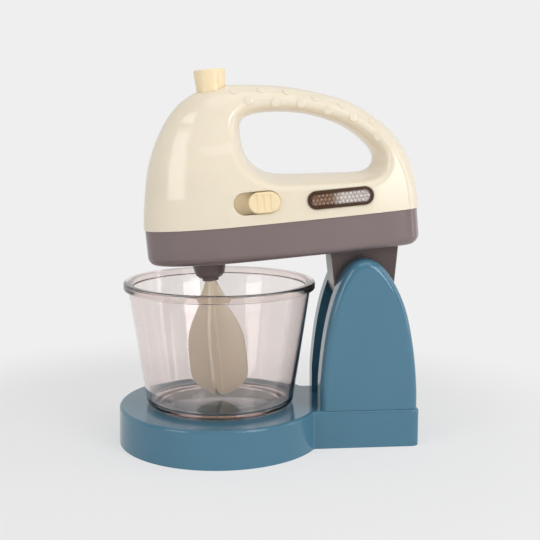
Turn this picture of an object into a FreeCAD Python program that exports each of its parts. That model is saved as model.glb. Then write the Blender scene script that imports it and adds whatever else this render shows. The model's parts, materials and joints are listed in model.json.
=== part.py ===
import FreeCAD, Part
import math
import os

# Toy stand mixer: a battery hand mixer that clips on a tilting bracket over a bowl.
# Millimetres. Origin: on the table under the middle of the round base. +Z is up,
# -X is the nose of the mixer, -Y is the side with the switch and the light.
# The mixer's own pieces are drawn level and then dropped by HEAD_DROOP about the hinge.

V = FreeCAD.Vector
UP = V(0, 0, 1)
ALONG_X = V(1, 0, 0)
ALONG_Y = V(0, 1, 0)
BIG = 400.0

# Self-tapping screws
SCREW_RADIUS = 1.45
SCREW_HEAD_RADIUS = 2.8
SCREW_HEAD_HEIGHT = 1.8
SCREW_HEAD_EDGE = 0.6
SCREW_HOLE_GAP = 0.05
HEAD_POCKET_GAP = 0.3
HEAD_SINK = 0.4
CROSS_REACH = 1.5
CROSS_WIDTH = 0.7
CROSS_DEPTH = 1.0
POST_RADIUS = 3.2
WEB_THICKNESS = 1.6

# Stand
BASE_RADIUS = 53.0
BASE_HEIGHT = 19.5
BASE_DRAFT_DEG = 1.0
BASE_EDGE = 1.6
PLINTH_REAR = 101.0
PLINTH_HALF_WIDTH = 25.6
PLINTH_CORNER = 4.0
PLINTH_JUNCTION = 2.0
STAND_WALL = 2.0
SEAT_PAD_RADIUS = 26.0
SEAT_PAD_HEIGHT = 0.7
STAND_RIB_REACH = 40.0
STAND_RIB_THICKNESS = 1.5
STAND_RIB_FOOT = 8.0
BASE_COVER_THICKNESS = 2.0
BASE_COVER_GAP = 0.25
COVER_BOSS_RADIUS = 5.0
COVER_SCREW_LENGTH = 10.0
COVER_SCREWS = [(x, side * y) for x, y in ((-34.0, 29.0), (30.0, 33.0), (74.0, 19.0)) for side in (-1, 1)]

# Uprights
UPRIGHT_INNER = 12.0
UPRIGHT_OUTER = 25.0
UPRIGHT_EDGE = 4.2
UPRIGHT_FRONT = [(50.0, 34.0), (51.6, 51.5), (54.2, 67.0), (58.2, 81.0), (62.4, 89.8)]
UPRIGHT_TOP = [(66.6, 94.6), (72.0, 96.6), (77.6, 95.4)]
UPRIGHT_REAR = [(83.6, 90.0), (89.3, 80.7), (93.3, 71.0), (96.3, 58.8), (98.7, 43.2), (100.0, 26.0)]
UPRIGHT_POST_HEIGHT = 14.0
UPRIGHT_SCREW_LENGTH = 12.5
UPRIGHT_SCREWS = [(x, side * 18.5) for x in (60.0, 88.0) for side in (-1, 1)]

# Hinge
PIVOT_X = 72.0
PIVOT_Z = 84.0
HEAD_DROOP = 5.0
PIN_RADIUS = 2.0
PIN_HALF_LENGTH = 22.4
PIN_CHAMFER = 0.3
PIN_FIT = 0.05
HINGE_WASHER_RADIUS = 6.0
HINGE_BARREL_RADIUS = 5.0
HINGE_SIDE_GAP = 0.3

# Bracket, drawn level. Its lower front corner, STOP_LINE, rests on a block on each upright.
BRACKET_HALF_WIDTH = 11.4
BRACKET_HUB_RADIUS = 14.0
BRACKET_FRONT = 57.8
BRACKET_REAR = 92.8
STOP_LINE = [(58.2, 78.6), (62.4, 73.9)]
BRACKET_LOWER_REAR = [(79.4, 72.2), (89.4, 82.0)]
BRACKET_EDGE = 0.8
BRACKET_TOP_GAP = 0.2
PLUG_FRONT = 75.0
PLUG_LENGTH = 15.0
PLUG_HALF_WIDTH = 7.0
PLUG_HEIGHT = 9.0
PLUG_CORNER = 1.2
PLUG_FIT = 0.25
PLUG_ROOF_GAP = 0.6
SOCKET_WALL = 1.6
STOP_GAP = 0.15
STOP_REACH = 1.6
STOP_BLOCK_START = 0.5
STOP_BLOCK_LENGTH = 2.1
STOP_BLOCK_DEPTH = 2.6

# Mixer casing, drawn level
SEAM_Z = 119.6
SEAM_GAP = 0.1
CASING_WALL = 2.0
NOSE_X = -35.7
NOSE_LENGTH = 50.0
CASING_HALF_WIDTH = 26.5
REAR_NARROWING = 5.5
REAR_X = 105.5
EDGE_ROUNDING = 9.0
TOP_ROUNDING = 12.0
OUTLINE = [
    (-35.9, 112.0), (-35.7, 121.0), (-34.0, 134.0), (-30.4, 151.0), (-22.6, 168.2),
    (-9.0, 183.2), (8.0, 188.4), (27.0, 187.6), (43.0, 185.3), (59.0, 180.9),
    (74.0, 175.2), (87.0, 166.3), (97.0, 155.3), (103.3, 141.5), (105.6, 124.0),
    (105.6, 112.0),
]
# Share of the half width left at each height: the casing narrows up to the handle
GIRTH = [(100.0, 1.0), (119.6, 1.0), (135.0, 0.97), (145.0, 0.90), (155.0, 0.78),
         (165.0, 0.61), (172.0, 0.49), (180.0, 0.41), (192.0, 0.38)]
BUTTON_SWELL = 3.0
BUTTON_SWELL_LENGTH = 14.0

# Hand opening, narrowest in the mid-plane. Its floor and ends fall away to the sides and end
# in a small round; the handle over it is rounded over its whole width.
OPENING = [
    (55.6, 140.5), (42.7, 141.3), (35.5, 142.0), (29.6, 143.4), (24.6, 146.3),
    (20.9, 150.3), (18.8, 155.4), (17.8, 160.8), (17.7, 165.7), (19.2, 170.6),
    (24.9, 173.0), (32.6, 173.4), (40.5, 172.8), (49.0, 171.4), (57.8, 168.8),
    (66.0, 165.3), (73.5, 160.5), (80.1, 154.5), (83.9, 149.2), (84.4, 144.6),
    (81.6, 140.7), (76.0, 139.4), (66.0, 139.8),
]
OPENING_DEPTHS = [0.0, 5.0, 9.0, 12.0, 15.0, 19.0, 22.0, 24.0, 30.0]
OPENING_FALL = 4.4
OPENING_RIM = 3.2
OPENING_WALL = 1.6
HANDLE_ROUNDING = 7.0

# Screws and bosses in the casing
CASING_SCREWS = [(-19.0, 140.0), (-10.0, 170.0), (44.3, 124.2), (89.0, 155.0), (96.0, 135.0)]
CASING_SCREW_LENGTH = 9.0
CASING_SCREW_BITE = 3.5
CASING_SEAT_COVER = 5.0
FAR_BOSS_WALL = 1.4
TRAY_SCREWS = [(x, side * y) for x, y in ((-25.0, 5.5), (97.0, 12.0)) for side in (-1, 1)]
TRAY_SCREW_LENGTH = 14.0
TRAY_SCREW_SINK = 10.0
TRAY_POST_TOP = 131.0

# Tray under the casing
TRAY_INSET = 0.6
TRAY_BOTTOM = 101.2
TRAY_WALL = 2.0
TRAY_EDGE = 4.5
TRAY_FLOOR = TRAY_BOTTOM + TRAY_WALL
BRACKET_TOP = TRAY_BOTTOM - BRACKET_TOP_GAP

# Battery cover, a plate with a screw tab in front
COVER_FRONT = 21.0
COVER_REAR = 70.6
COVER_HALF_WIDTH = 15.6
COVER_TAB_FRONT = 12.0
COVER_TAB_HALF_WIDTH = 5.0
COVER_GAP = 0.25
COVER_RECESS = 0.1
COVER_SCREW_X = 15.5
COVER_HEAD_RECESS = 1.0
COVER_TAB_SCREW_LENGTH = 5.0
COVER_LIP = 1.0
COVER_BLOCK_HEIGHT = 2.0
COVER_POST_HEIGHT = 5.5

# Cells and contacts
CELL_RADIUS = 7.15
CELL_LENGTH = 50.0
CELL_EDGE = 0.5
CELL_FRONT = 20.9
CELL_Y = 7.5
CELL_LIFT = 0.15
CELL_CAP_RADIUS = 2.7
CELL_CAP_LENGTH = 1.2
CELL_FENCE_INNER = 15.3
CELL_FENCE_OUTER = 17.6
CONTACT_HALF_WIDTH = 4.5
CONTACT_HEIGHT = 12.0
CONTACT_THICKNESS = 0.4
DIMPLE_RADIUS = 1.5
DIMPLE_HEIGHT = 0.55
DIMPLE_GAP = 0.15
REAR_CONTACT_GAP = 0.3
REAR_CONTACT_THICKNESS = 0.5

# Drive train
BEATER_X = -4.3
GEAR_MODULE = 0.5
WHEEL_TEETH = 36
PINION_TEETH = 12
GEAR_BACKLASH = 0.12
PRESSURE_ANGLE_DEG = 20.0
SHAFT_FIT = 0.05
PUSH_FIT = 0.02
AXLE_RADIUS = 1.0
AXLE_X = BEATER_X + GEAR_MODULE * (WHEEL_TEETH + PINION_TEETH) / 2
AXLE_BOSS_RADIUS = 2.5
AXLE_BOSS_HEIGHT = 6.2
AXLE_FOOT_GAP = 0.4
AXLE_REACH = 1.5
COLLAR_TOP_RADIUS = 9.0
COLLAR_LOWER = [(6.0, 92.4), (7.5, 94.0), (8.1, 96.4)]
COLLAR_SLEEVE_RADIUS = 6.5
COLLAR_SLEEVE_TOP = 107.0
SPINDLE_RADIUS = 4.0
SPINDLE_TIP_RADIUS = 4.3
SPINDLE_TIP_Z = 90.7
SPINDLE_TIP_GAP = 0.15
SPINDLE_FLANGE_RADIUS = 5.4
SPINDLE_FLANGE_Z = 107.2
SPINDLE_FLANGE_THICKNESS = 1.0
SPINDLE_NECK_RADIUS = 2.5
SPINDLE_TOP_Z = 118.0
SPINDLE_GEAR_Z = 112.0
SPINDLE_GEAR_FACE = 4.0
SPINDLE_HUB_RADIUS = 4.0
COMPOUND_PINION_Z = 111.4
COMPOUND_WHEEL_Z = 119.3
COMPOUND_WHEEL_FACE = 3.0
COMPOUND_HUB_RADIUS = 2.0
COMPOUND_HUB_HEIGHT = 1.3
MOTOR_PINION_Z = 119.0
MOTOR_PINION_FACE = 4.0
MOTOR_SHAFT_FOOT = 118.6
MOTOR_SHAFT_REACH = 2.6
MOTOR_LENGTH = 25.0
MOTOR_RADIUS = 10.0
MOTOR_HALF_DEPTH = 7.6
MOTOR_NOSE_RADIUS = 3.0
MOTOR_NOSE_LENGTH = 1.5
MOTOR_TAIL_RADIUS = 5.0
MOTOR_TAIL_LENGTH = 1.8
MOTOR_TAB_X = 7.0
MOTOR_TAB_HALF_WIDTH = 1.2
MOTOR_TAB_THICKNESS = 0.5
MOTOR_TAB_LENGTH = 3.5
GEAR_PLATE_Z = 124.0
GEAR_PLATE_THICKNESS = 2.0
GEAR_PLATE_HALF_LENGTH = 20.4
GEAR_PLATE_HALF_WIDTH = 14.0
GEAR_PLATE_CORNER = 4.0
GEAR_PLATE_TOP = GEAR_PLATE_Z + GEAR_PLATE_THICKNESS
GEAR_POSTS = [(x, side * y) for x, y in ((-17.0, 11.0), (17.0, 11.4)) for side in (-1, 1)]
GEAR_POST_RADIUS = 2.6
GEAR_SCREW_RADIUS = 1.0
GEAR_SCREW_HEAD_RADIUS = 1.9
GEAR_SCREW_HEAD_HEIGHT = 1.2
GEAR_SCREW_LENGTH = 8.0

# Beater: half width of a blade at each height
BLADE = [(3.0, 89.4), (6.4, 82.0), (9.0, 76.6), (12.2, 70.0), (14.4, 63.0), (15.2, 54.0),
         (15.3, 46.0), (14.9, 41.0), (13.3, 37.2), (10.6, 34.4), (6.6, 32.0), (2.0, 30.1)]
BEATER_TIP_Z = 29.6
BLADE_THICKNESS = 1.6
BLADE_COUNT = 4
BEATER_TURN_DEG = -15.0
BEATER_CORE_RADIUS = 1.7
BEATER_CORE_START = 2.5
BEATER_COLLAR_RADIUS = 3.2
BEATER_COLLAR_HEIGHT = 1.0
SHANK_RADIUS = 2.05
SHANK_TOP_Z = 103.6
SHANK_END_GAP = 0.4

# Button on top: a tapered cap on a guided shaft
BUTTON_X = 5.1
BUTTON_RADIUS = 7.4
BUTTON_TOP_RADIUS = 8.1
BUTTON_TAPER_Z = 188.0
BUTTON_TOP_Z = 197.0
BUTTON_EDGE = 0.9
BUTTON_TRAVEL = 3.0
BUTTON_GAP = 0.45
BUTTON_WALL = 1.6
BUTTON_STEM_RADIUS = 2.2
FLANGE_REACH = 1.3
FLANGE_THICKNESS = 1.5
FLANGE_GAP = 0.3
GUIDE_WALL = 1.6
GUIDE_FOOT_Z = 173.3
BOARD_Z = 158.0
BOARD_THICKNESS = 1.2
BOARD_TOP = BOARD_Z + BOARD_THICKNESS
BOARD_FRONT = -6.0
BOARD_REAR = 13.0
BOARD_HALF_WIDTH = 8.0
BOARD_END_GAP = 0.6
LEDGE_THICKNESS = 1.5
LEDGE_OVERLAP = 2.0
KEY_HALF_WIDTH = 3.0
KEY_HEIGHT = 3.5
PLUNGER_RADIUS = 1.7
PLUNGER_HEIGHT = 1.3
STEM_GAP = 0.2
SPRING_WIRE_RADIUS = 0.35
SPRING_RADIUS = 5.0
SPRING_TURNS = 6
SPRING_GAP = 0.05

# Slide switch in the near wall
SLOT_X = 21.3
SLOT_Z = 130.4
SLOT_LENGTH = 22.8
SLOT_HEIGHT = 11.0
KNOB_LENGTH = 15.6
KNOB_HEIGHT = 10.4
KNOB_PROUD_Y = 28.2
KNOB_EDGE = 0.8
KNOB_END_GAP = 0.1
KNOB_GROOVES = 3
KNOB_GROOVE_PITCH = 3.3
KNOB_GROOVE_SHIFT = -0.8
KNOB_GROOVE_RADIUS = 1.3
KNOB_GROOVE_DEPTH = 0.5
KNOB_GROOVE_HALF_HEIGHT = 4.0
SWITCH_TRAVEL = 6.8
SLIDER_Y = 22.0
SLIDER_THICKNESS = 1.2
SLIDER_COVER = 0.4
SLIDER_OVERRUN = 0.7
PEG_HALF = 1.5
PEG_TIP_Y = 17.0
RAIL_GAP = 0.2
RAIL_THICKNESS = 1.5
RAIL_FRONT = 1.0
RAIL_REAR = 41.5
UPPER_RAIL_REAR = 29.0
RAIL_TIP_Y = 14.5
SWITCH_BLOCK_FRONT = 8.0
SWITCH_BLOCK_REAR = 36.0
SWITCH_BLOCK_BACK_Y = 14.6
SWITCH_BLOCK_GAP = 0.1
SWITCH_SLOT_Y = 16.4
PEG_GAP = 0.5

# Light window in the near wall
WINDOW_X = 62.9
WINDOW_Z = 128.9
BEZEL_LENGTH = 33.0
BEZEL_HEIGHT = 8.8
BEZEL_BORDER = 1.3
BEZEL_PROUD = 0.5
BEZEL_LIP = 0.4
BEZEL_DEPTH = 4.0
BEZEL_FIT = 0.1
LENS_THICKNESS = 1.6
LENS_SETBACK = 0.2
LENS_GAP = 0.1
LAMP_BOARD_Y = 16.6
LAMP_BOARD_HALF_LENGTH = 13.2
LAMP_BOARD_LOW = 122.5
LAMP_BOARD_HIGH = 134.4
LAMP_BOARD_THICKNESS = 1.0
LAMP_CLIP_THICKNESS = 1.2
LAMP_CLIP_GAP = 0.2
LAMP_CLIP_REACH = 1.1
LAMP_CLIP_TOP = 134.0
LAMP_FOOT_RADIUS = 2.4
LAMP_FOOT_HEIGHT = 1.2
LAMP_RADIUS = 2.0
LAMP_LENGTH = 1.6

# Bowl
BOWL_RIM_RADIUS = 49.4
BOWL_RIM_ROUND = 0.8
BOWL_TOP_Z = 83.9
BOWL_RIM_HEIGHT = 3.9
BOWL_WALL = 1.8
BOWL_NECK_RADIUS = 47.0
BOWL_FOOT_RADIUS = 38.6
BOWL_BASE_ROUND = 3.6
BOWL_BASE_GAP = 0.1
BOWL_FLOOR = 1.35
BOWL_FLOOR_ROUND = 2.6
BOWL_PAD_RISE = 0.4
SEAT_FIT = 0.4
SEAT_ROOF_GAP = 0.15


# Plain shapes

def box(x0, x1, y0, y1, z0, z1):
    return Part.makeBox(x1 - x0, y1 - y0, z1 - z0, V(x0, y0, z0))


def side_box(x0, x1, y0, y1, z0, z1, side):
    """Box whose Y limits are given for the far side and mirrored for the near side."""
    return box(x0, x1, min(side * y0, side * y1), max(side * y0, side * y1), z0, z1)


def rod(radius, start, length, direction=UP):
    return Part.makeCylinder(radius, length, start, direction)


def tube(outer, inner, start, length):
    return rod(outer, start, length).cut(rod(inner, start, length))


def fuse_all(shapes):
    whole = shapes[0]
    if len(shapes) > 1:
        whole = whole.multiFuse(shapes[1:])
    return whole.removeSplitter()


def polygon(points, y0, y1):
    """Block between two Y planes over an outline of (x, z) corners."""
    corners = [V(x, y0, z) for x, z in points]
    face = Part.Face(Part.makePolygon(corners + corners[:1]))
    return face.extrude(V(0, y1 - y0, 0))


def spline(points, closed=False):
    curve = Part.BSplineCurve()
    curve.interpolate(Points=points, PeriodicFlag=closed)
    return curve.toShape()


def shifted(points, distance, axis, closed=False):
    """Points of a curve moved sideways by distance, to the right as seen against axis."""
    curve = Part.BSplineCurve()
    curve.interpolate(Points=points, PeriodicFlag=closed)
    moved_points = []
    for point in points:
        along = curve.tangent(curve.parameter(point))[0]
        moved_points.append(point + along.cross(axis) * distance)
    return moved_points


def turned(points):
    """Solid of revolution about Z from (radius, z) corners."""
    corners = [V(r, 0, z) for r, z in points]
    face = Part.Face(Part.makePolygon(corners + corners[:1]))
    return face.revolve(V(0, 0, 0), UP, 360)


def mirrored(shape):
    return shape.mirror(V(0, 0, 0), ALONG_Y)


def moved(shape, x=0.0, y=0.0, z=0.0):
    copy = shape.copy()
    copy.translate(V(x, y, z))
    return copy


def drooped(shape):
    """Takes a piece of the mixer from level to its place on the stand."""
    copy = shape.copy()
    copy.rotate(V(PIVOT_X, 0, PIVOT_Z), ALONG_Y, -HEAD_DROOP)
    return copy


def clamp(value, low, high):
    return min(max(value, low), high)


def ramp(value, low, high):
    share = clamp((value - low) / (high - low), 0.0, 1.0)
    return share * share * (3 - 2 * share)


def quarter_round(distance, radius):
    """Height, from 0 to 1, of a quarter ellipse at a distance from its edge."""
    share = clamp(distance / radius, 0.0, 1.0)
    return math.sqrt(max(0.0, 1 - (1 - share) ** 2))


def stadium(length, height, y0, y1):
    """Bar with round ends along X, standing on the XZ plane from y0 to y1."""
    end = height / 2
    reach = length / 2 - end
    bar = box(-reach, reach, y0, y1, -end, end)
    caps = [rod(end, V(side * reach, y0, 0), y1 - y0, ALONG_Y) for side in (-1, 1)]
    return fuse_all([bar] + caps)


def rounded(shape, radius, wanted):
    edges = [edge for edge in shape.Edges if wanted(edge)]
    return shape.makeFillet(radius, edges)


def edge_at_height(z):
    def wanted(edge):
        return abs(edge.BoundBox.ZMin - z) < 1e-4 and abs(edge.BoundBox.ZMax - z) < 1e-4
    return wanted


def screw(length, place, direction):
    """Pan-head screw: its head sits at place and its shank runs along direction."""
    head = rod(SCREW_HEAD_RADIUS, V(0, 0, -SCREW_HEAD_HEIGHT), SCREW_HEAD_HEIGHT)
    head = rounded(head, SCREW_HEAD_EDGE, edge_at_height(-SCREW_HEAD_HEIGHT))
    body = fuse_all([head, rod(SCREW_RADIUS, V(0, 0, 0), length)])
    low = -SCREW_HEAD_HEIGHT
    high = low + CROSS_DEPTH
    half = CROSS_WIDTH / 2
    body = body.cut([
        box(-CROSS_REACH, CROSS_REACH, -half, half, low, high),
        box(-half, half, -CROSS_REACH, CROSS_REACH, low, high),
    ])
    body.Placement = FreeCAD.Placement(place, FreeCAD.Rotation(UP, direction))
    return body


def pilot(place, length, direction=UP):
    return rod(SCREW_RADIUS + SCREW_HOLE_GAP, place, length, direction)


def head_pocket(place, length, direction=UP):
    return rod(SCREW_HEAD_RADIUS + HEAD_POCKET_GAP, place, length, direction)


# Casing form

def plan_half_width(x):
    """Half width of the casing at the seam, before the nose and rear are rounded."""
    nose_end = NOSE_X + NOSE_LENGTH
    share = clamp((x - nose_end) / (REAR_X - EDGE_ROUNDING + 2 - nose_end), 0, 1)
    return CASING_HALF_WIDTH - REAR_NARROWING * share ** 2.5


def girth(z):
    for (low, share_low), (high, share_high) in zip(GIRTH, GIRTH[1:]):
        if z <= high:
            return share_low + (share_high - share_low) * (z - low) / (high - low)
    return GIRTH[-1][1]


def wall_half_width(x, z):
    """Half width of the casing's side wall away from its rounded edges."""
    swell = BUTTON_SWELL * math.exp(-(((x - 2) / BUTTON_SWELL_LENGTH) ** 2))
    return plan_half_width(x) * girth(z) + swell * clamp((z - 160) / 20, 0, 1)


outline_curve = Part.BSplineCurve()
outline_curve.interpolate([V(x, 0, z) for x, z in OUTLINE])
OUTLINE_STEPS = outline_curve.toShape().discretize(400)


def edge_distance(x, z):
    return min(math.hypot(p.x - x, p.z - z) for p in OUTLINE_STEPS)


def outline_top(x):
    heights = []
    for a, b in zip(OUTLINE_STEPS, OUTLINE_STEPS[1:]):
        if min(a.x, b.x) <= x <= max(a.x, b.x) and a.x != b.x:
            heights.append(a.z + (b.z - a.z) * (x - a.x) / (b.x - a.x))
    return max(heights)


def outer_rounding(x, z):
    """Length over which the side wall turns in to the outline: long at the nose."""
    nose = NOSE_LENGTH - (NOSE_LENGTH - TOP_ROUNDING) * ramp(z, SEAM_Z, 188.0)
    return nose + (EDGE_ROUNDING - nose) * ramp(x, 2.0, 24.0)


def casing_top(x, inset):
    """Height at x where the mid-plane is inset below the outline."""
    low, high = SEAM_Z, outline_top(x)
    if inset:
        for _ in range(20):
            middle = (low + high) / 2
            if edge_distance(x, middle) > inset:
                low = middle
            else:
                high = middle
    return high


def casing_section(x, inset):
    """Cross-section of the casing at x: an arch on the seam plane."""
    top = casing_top(x, inset)
    steps = 10
    flank = []
    for step in range(steps):
        z = SEAM_Z + (top - SEAM_Z) * math.sin(math.pi / 2 * step / steps)
        edge = edge_distance(x, z) - inset
        half = (wall_half_width(x, z) - inset) * quarter_round(edge, outer_rounding(x, z) - inset)
        flank.append((half, z))
    arch = [V(x, -half, z) for half, z in flank] + [V(x, 0, top)]
    arch += [V(x, half, z) for half, z in reversed(flank)]
    return Part.Wire([spline(arch), Part.makeLine(arch[-1], arch[0])])


def casing_form(inset):
    front = [-35.2, -34.0, -31.0, -26.0, -18.0, -8.0]
    middle = [4.0, 18.0, 34.0, 50.0, 66.0]
    rear = [80.0, 92.0, 99.0, 103.0, 104.8]
    places = [x + inset for x in front] + middle + [x - inset for x in rear]
    return Part.makeLoft([casing_section(x, inset) for x in places], True, False)


def opening_flare(depth, half_width, upward):
    """How far the hand opening has widened at a depth from the mid-plane. upward is 1 under
    the handle and 0 at the opening's floor and ends."""
    share = clamp(depth / half_width, 0, 1)
    handle = HANDLE_ROUNDING * (1 - math.sqrt(1 - share * share))
    rim = clamp((depth - half_width + OPENING_RIM) / OPENING_RIM, 0, 1)
    floor = OPENING_FALL * share ** 1.5 + OPENING_RIM * (1 - math.sqrt(1 - rim * rim))
    return floor + (handle - floor) * upward


def opening_section(depth, inset):
    """Outline of the hand opening at a depth from the mid-plane, widened by -inset."""
    rim = [V(x, 0, z) for x, z in OPENING]
    points = []
    for point, further in zip(rim, shifted(rim, 1.0, ALONG_Y, closed=True)):
        out = further - point
        side = point + out * HANDLE_ROUNDING
        flare = opening_flare(depth, wall_half_width(side.x, side.z), ramp(out.z, -0.1, 0.6))
        points.append(point + out * (flare - inset) + V(0, -depth, 0))
    return Part.Wire([spline(points, closed=True)])


def opening_tunnel(inset):
    near = Part.makeLoft([opening_section(depth, inset) for depth in OPENING_DEPTHS], True, True)
    return near.fuse(mirrored(near))


def seam_outline(inset):
    """Wire of the casing's plan outline at the seam, set in by inset."""
    points = []
    for step in range(7):
        angle = math.pi / 2 * step / 6
        points.append((NOSE_X + NOSE_LENGTH * (1 - math.cos(angle)), CASING_HALF_WIDTH * math.sin(angle)))
    points += [(x, plan_half_width(x)) for x in (32.0, 50.0, 66.0, 82.0)]
    for step in range(4):
        angle = math.pi / 2 * (1 - step / 4)
        x = REAR_X - EDGE_ROUNDING * (1 - math.cos(angle))
        points.append((x, plan_half_width(x) * math.sin(angle)))
    points.append((REAR_X, 0.0))
    loop = [V(x, -y, 0) for x, y in points]
    loop += [V(x, y, 0) for x, y in reversed(points[1:-1])]
    loop = shifted(loop, -inset, UP, closed=True)
    return Part.Wire([spline(loop, closed=True)])


def plan_block(inset, z0, z1):
    face = Part.Face(seam_outline(inset))
    face.translate(V(0, 0, z0))
    return face.extrude(V(0, 0, z1 - z0))


# Stand

def cover_boss_top():
    """Height of the bosses on the base cover, where the screw posts above them start."""
    return BASE_COVER_THICKNESS + SCREW_HEAD_HEIGHT + HEAD_SINK


def base_block(inset, top):
    """The round base with its plinth, up to top, set in by inset."""
    narrowing = top * math.tan(math.radians(BASE_DRAFT_DEG))
    disc = Part.makeCone(BASE_RADIUS - inset, BASE_RADIUS - inset - narrowing, top)
    half = PLINTH_HALF_WIDTH - inset
    plinth = box(0, PLINTH_REAR - inset, -half, half, 0, top)
    plinth = rounded(
        plinth, PLINTH_CORNER,
        lambda e: e.BoundBox.ZLength > top / 2 and e.BoundBox.XMin > PLINTH_REAR / 2,
    )
    block = fuse_all([disc, plinth])
    return rounded(
        block, PLINTH_JUNCTION,
        lambda e: (e.BoundBox.ZLength > top / 2 and 0 < e.BoundBox.XMin
                   and e.BoundBox.XMax < PLINTH_REAR * 0.6),
    )


def make_base_shell():
    block = base_block(0, BASE_HEIGHT)
    block = rounded(block, BASE_EDGE, edge_at_height(BASE_HEIGHT))
    roof = BASE_HEIGHT - STAND_WALL
    shell = block.cut(base_block(STAND_WALL, roof))
    pad = rod(SEAT_PAD_RADIUS, V(0, 0, BASE_HEIGHT - 1), 1 + SEAT_PAD_HEIGHT)
    pad = rounded(pad, SEAT_PAD_HEIGHT / 2, edge_at_height(BASE_HEIGHT + SEAT_PAD_HEIGHT))
    foot = cover_boss_top()
    posts = [rod(POST_RADIUS, V(x, y, foot), roof - foot + 1) for x, y in COVER_SCREWS]
    reach, half = STAND_RIB_REACH, STAND_RIB_THICKNESS / 2
    ribs = [
        box(-reach, reach, -half, half, STAND_RIB_FOOT, roof + 1),
        box(-half, half, -reach, reach, STAND_RIB_FOOT, roof + 1),
    ]
    shell = fuse_all([shell, pad] + posts + ribs)
    holes = [pilot(V(x, y, foot), COVER_SCREW_LENGTH + 1) for x, y in COVER_SCREWS]
    holes += [pilot(V(x, y, 0), BASE_HEIGHT + 1) for x, y in UPRIGHT_SCREWS]
    return shell.cut(holes)


def make_base_cover():
    inset = STAND_WALL + BASE_COVER_GAP
    plate = base_block(inset, BASE_COVER_THICKNESS)
    boss_top = cover_boss_top()
    limits = base_block(inset, boss_top)
    bosses = [rod(COVER_BOSS_RADIUS, V(x, y, 0), boss_top).common(limits) for x, y in COVER_SCREWS]
    plate = fuse_all([plate] + bosses)
    sunk = boss_top - BASE_COVER_THICKNESS
    holes = [head_pocket(V(x, y, 0), sunk) for x, y in COVER_SCREWS]
    holes += [pilot(V(x, y, 0), boss_top) for x, y in COVER_SCREWS]
    return plate.cut(holes)


def make_base_cover_screws():
    sunk = cover_boss_top() - BASE_COVER_THICKNESS
    return Part.makeCompound([screw(COVER_SCREW_LENGTH, V(x, y, sunk), UP) for x, y in COVER_SCREWS])


def upright_face(inset, foot):
    """Side outline of an upright, set in by inset, from foot up."""
    arch = [V(x, 0, z) for x, z in UPRIGHT_FRONT + UPRIGHT_TOP + UPRIGHT_REAR]
    arch = shifted(arch, -inset, ALONG_Y)
    low_front = V(arch[0].x, 0, foot)
    low_rear = V(arch[-1].x, 0, foot)
    lines = [
        Part.makeLine(low_front, arch[0]),
        spline(arch),
        Part.makeLine(arch[-1], low_rear),
        Part.makeLine(low_rear, low_front),
    ]
    return Part.Face(Part.Wire(lines))


def stop_block():
    """Block on the far upright that the bracket's lower front corner rests on."""
    start = V(STOP_LINE[0][0], 0, STOP_LINE[0][1])
    run = V(STOP_LINE[1][0], 0, STOP_LINE[1][1]) - start
    run.normalize()
    out = V(run.z, 0, -run.x)
    near_end = STOP_BLOCK_START
    far_end = near_end + STOP_BLOCK_LENGTH
    back = STOP_BLOCK_DEPTH
    corners = []
    for along, depth in ((near_end, STOP_GAP), (far_end, STOP_GAP), (far_end, back), (near_end, back)):
        corner = start + run * along + out * depth
        corners.append((corner.x, corner.z))
    return drooped(polygon(corners, UPRIGHT_INNER - STOP_REACH, UPRIGHT_INNER + 0.5))


def make_far_upright():
    thickness = UPRIGHT_OUTER - UPRIGHT_INNER
    slab = upright_face(0, BASE_HEIGHT).extrude(V(0, thickness, 0))
    slab.translate(V(0, UPRIGHT_INNER, 0))
    slab = rounded(
        slab, UPRIGHT_EDGE,
        lambda e: e.BoundBox.YMin > UPRIGHT_OUTER - 1e-3 and e.BoundBox.ZMax > BASE_HEIGHT + 1,
    )
    hollow = upright_face(STAND_WALL, BASE_HEIGHT - 2 * STAND_WALL)
    hollow = hollow.extrude(V(0, thickness - 2 * STAND_WALL, 0))
    hollow.translate(V(0, UPRIGHT_INNER + STAND_WALL, 0))
    hollow = rounded(
        hollow, UPRIGHT_EDGE - STAND_WALL,
        lambda e: e.BoundBox.YMin > UPRIGHT_OUTER - STAND_WALL - 1e-3 and e.BoundBox.ZMax > BASE_HEIGHT,
    )
    inner = BRACKET_HALF_WIDTH + HINGE_SIDE_GAP
    washer = rod(HINGE_WASHER_RADIUS, V(PIVOT_X, inner, PIVOT_Z), UPRIGHT_INNER - inner + 0.5, ALONG_Y)
    barrel = rod(HINGE_BARREL_RADIUS, V(PIVOT_X, UPRIGHT_INNER, PIVOT_Z), thickness - 1, ALONG_Y)
    posts = []
    far_screws = [(x, y) for x, y in UPRIGHT_SCREWS if y > 0]
    post_top = BASE_HEIGHT + UPRIGHT_POST_HEIGHT
    for x, y in far_screws:
        half = WEB_THICKNESS / 2
        posts.append(rod(POST_RADIUS, V(x, y, BASE_HEIGHT), UPRIGHT_POST_HEIGHT))
        posts.append(box(x - half, x + half, UPRIGHT_INNER + 1, UPRIGHT_OUTER - 1, BASE_HEIGHT + 1, post_top))
    upright = fuse_all([slab.cut(hollow), washer, barrel, stop_block()] + posts)
    bore_length = PIN_HALF_LENGTH - inner + 0.2
    holes = [rod(PIN_RADIUS + PUSH_FIT, V(PIVOT_X, inner, PIVOT_Z), bore_length, ALONG_Y)]
    holes += [pilot(V(x, y, BASE_HEIGHT), UPRIGHT_POST_HEIGHT - 2) for x, y in far_screws]
    return upright.cut(holes)


def make_upright_screws():
    roof = BASE_HEIGHT - STAND_WALL
    return Part.makeCompound([screw(UPRIGHT_SCREW_LENGTH, V(x, y, roof), UP) for x, y in UPRIGHT_SCREWS])


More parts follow.
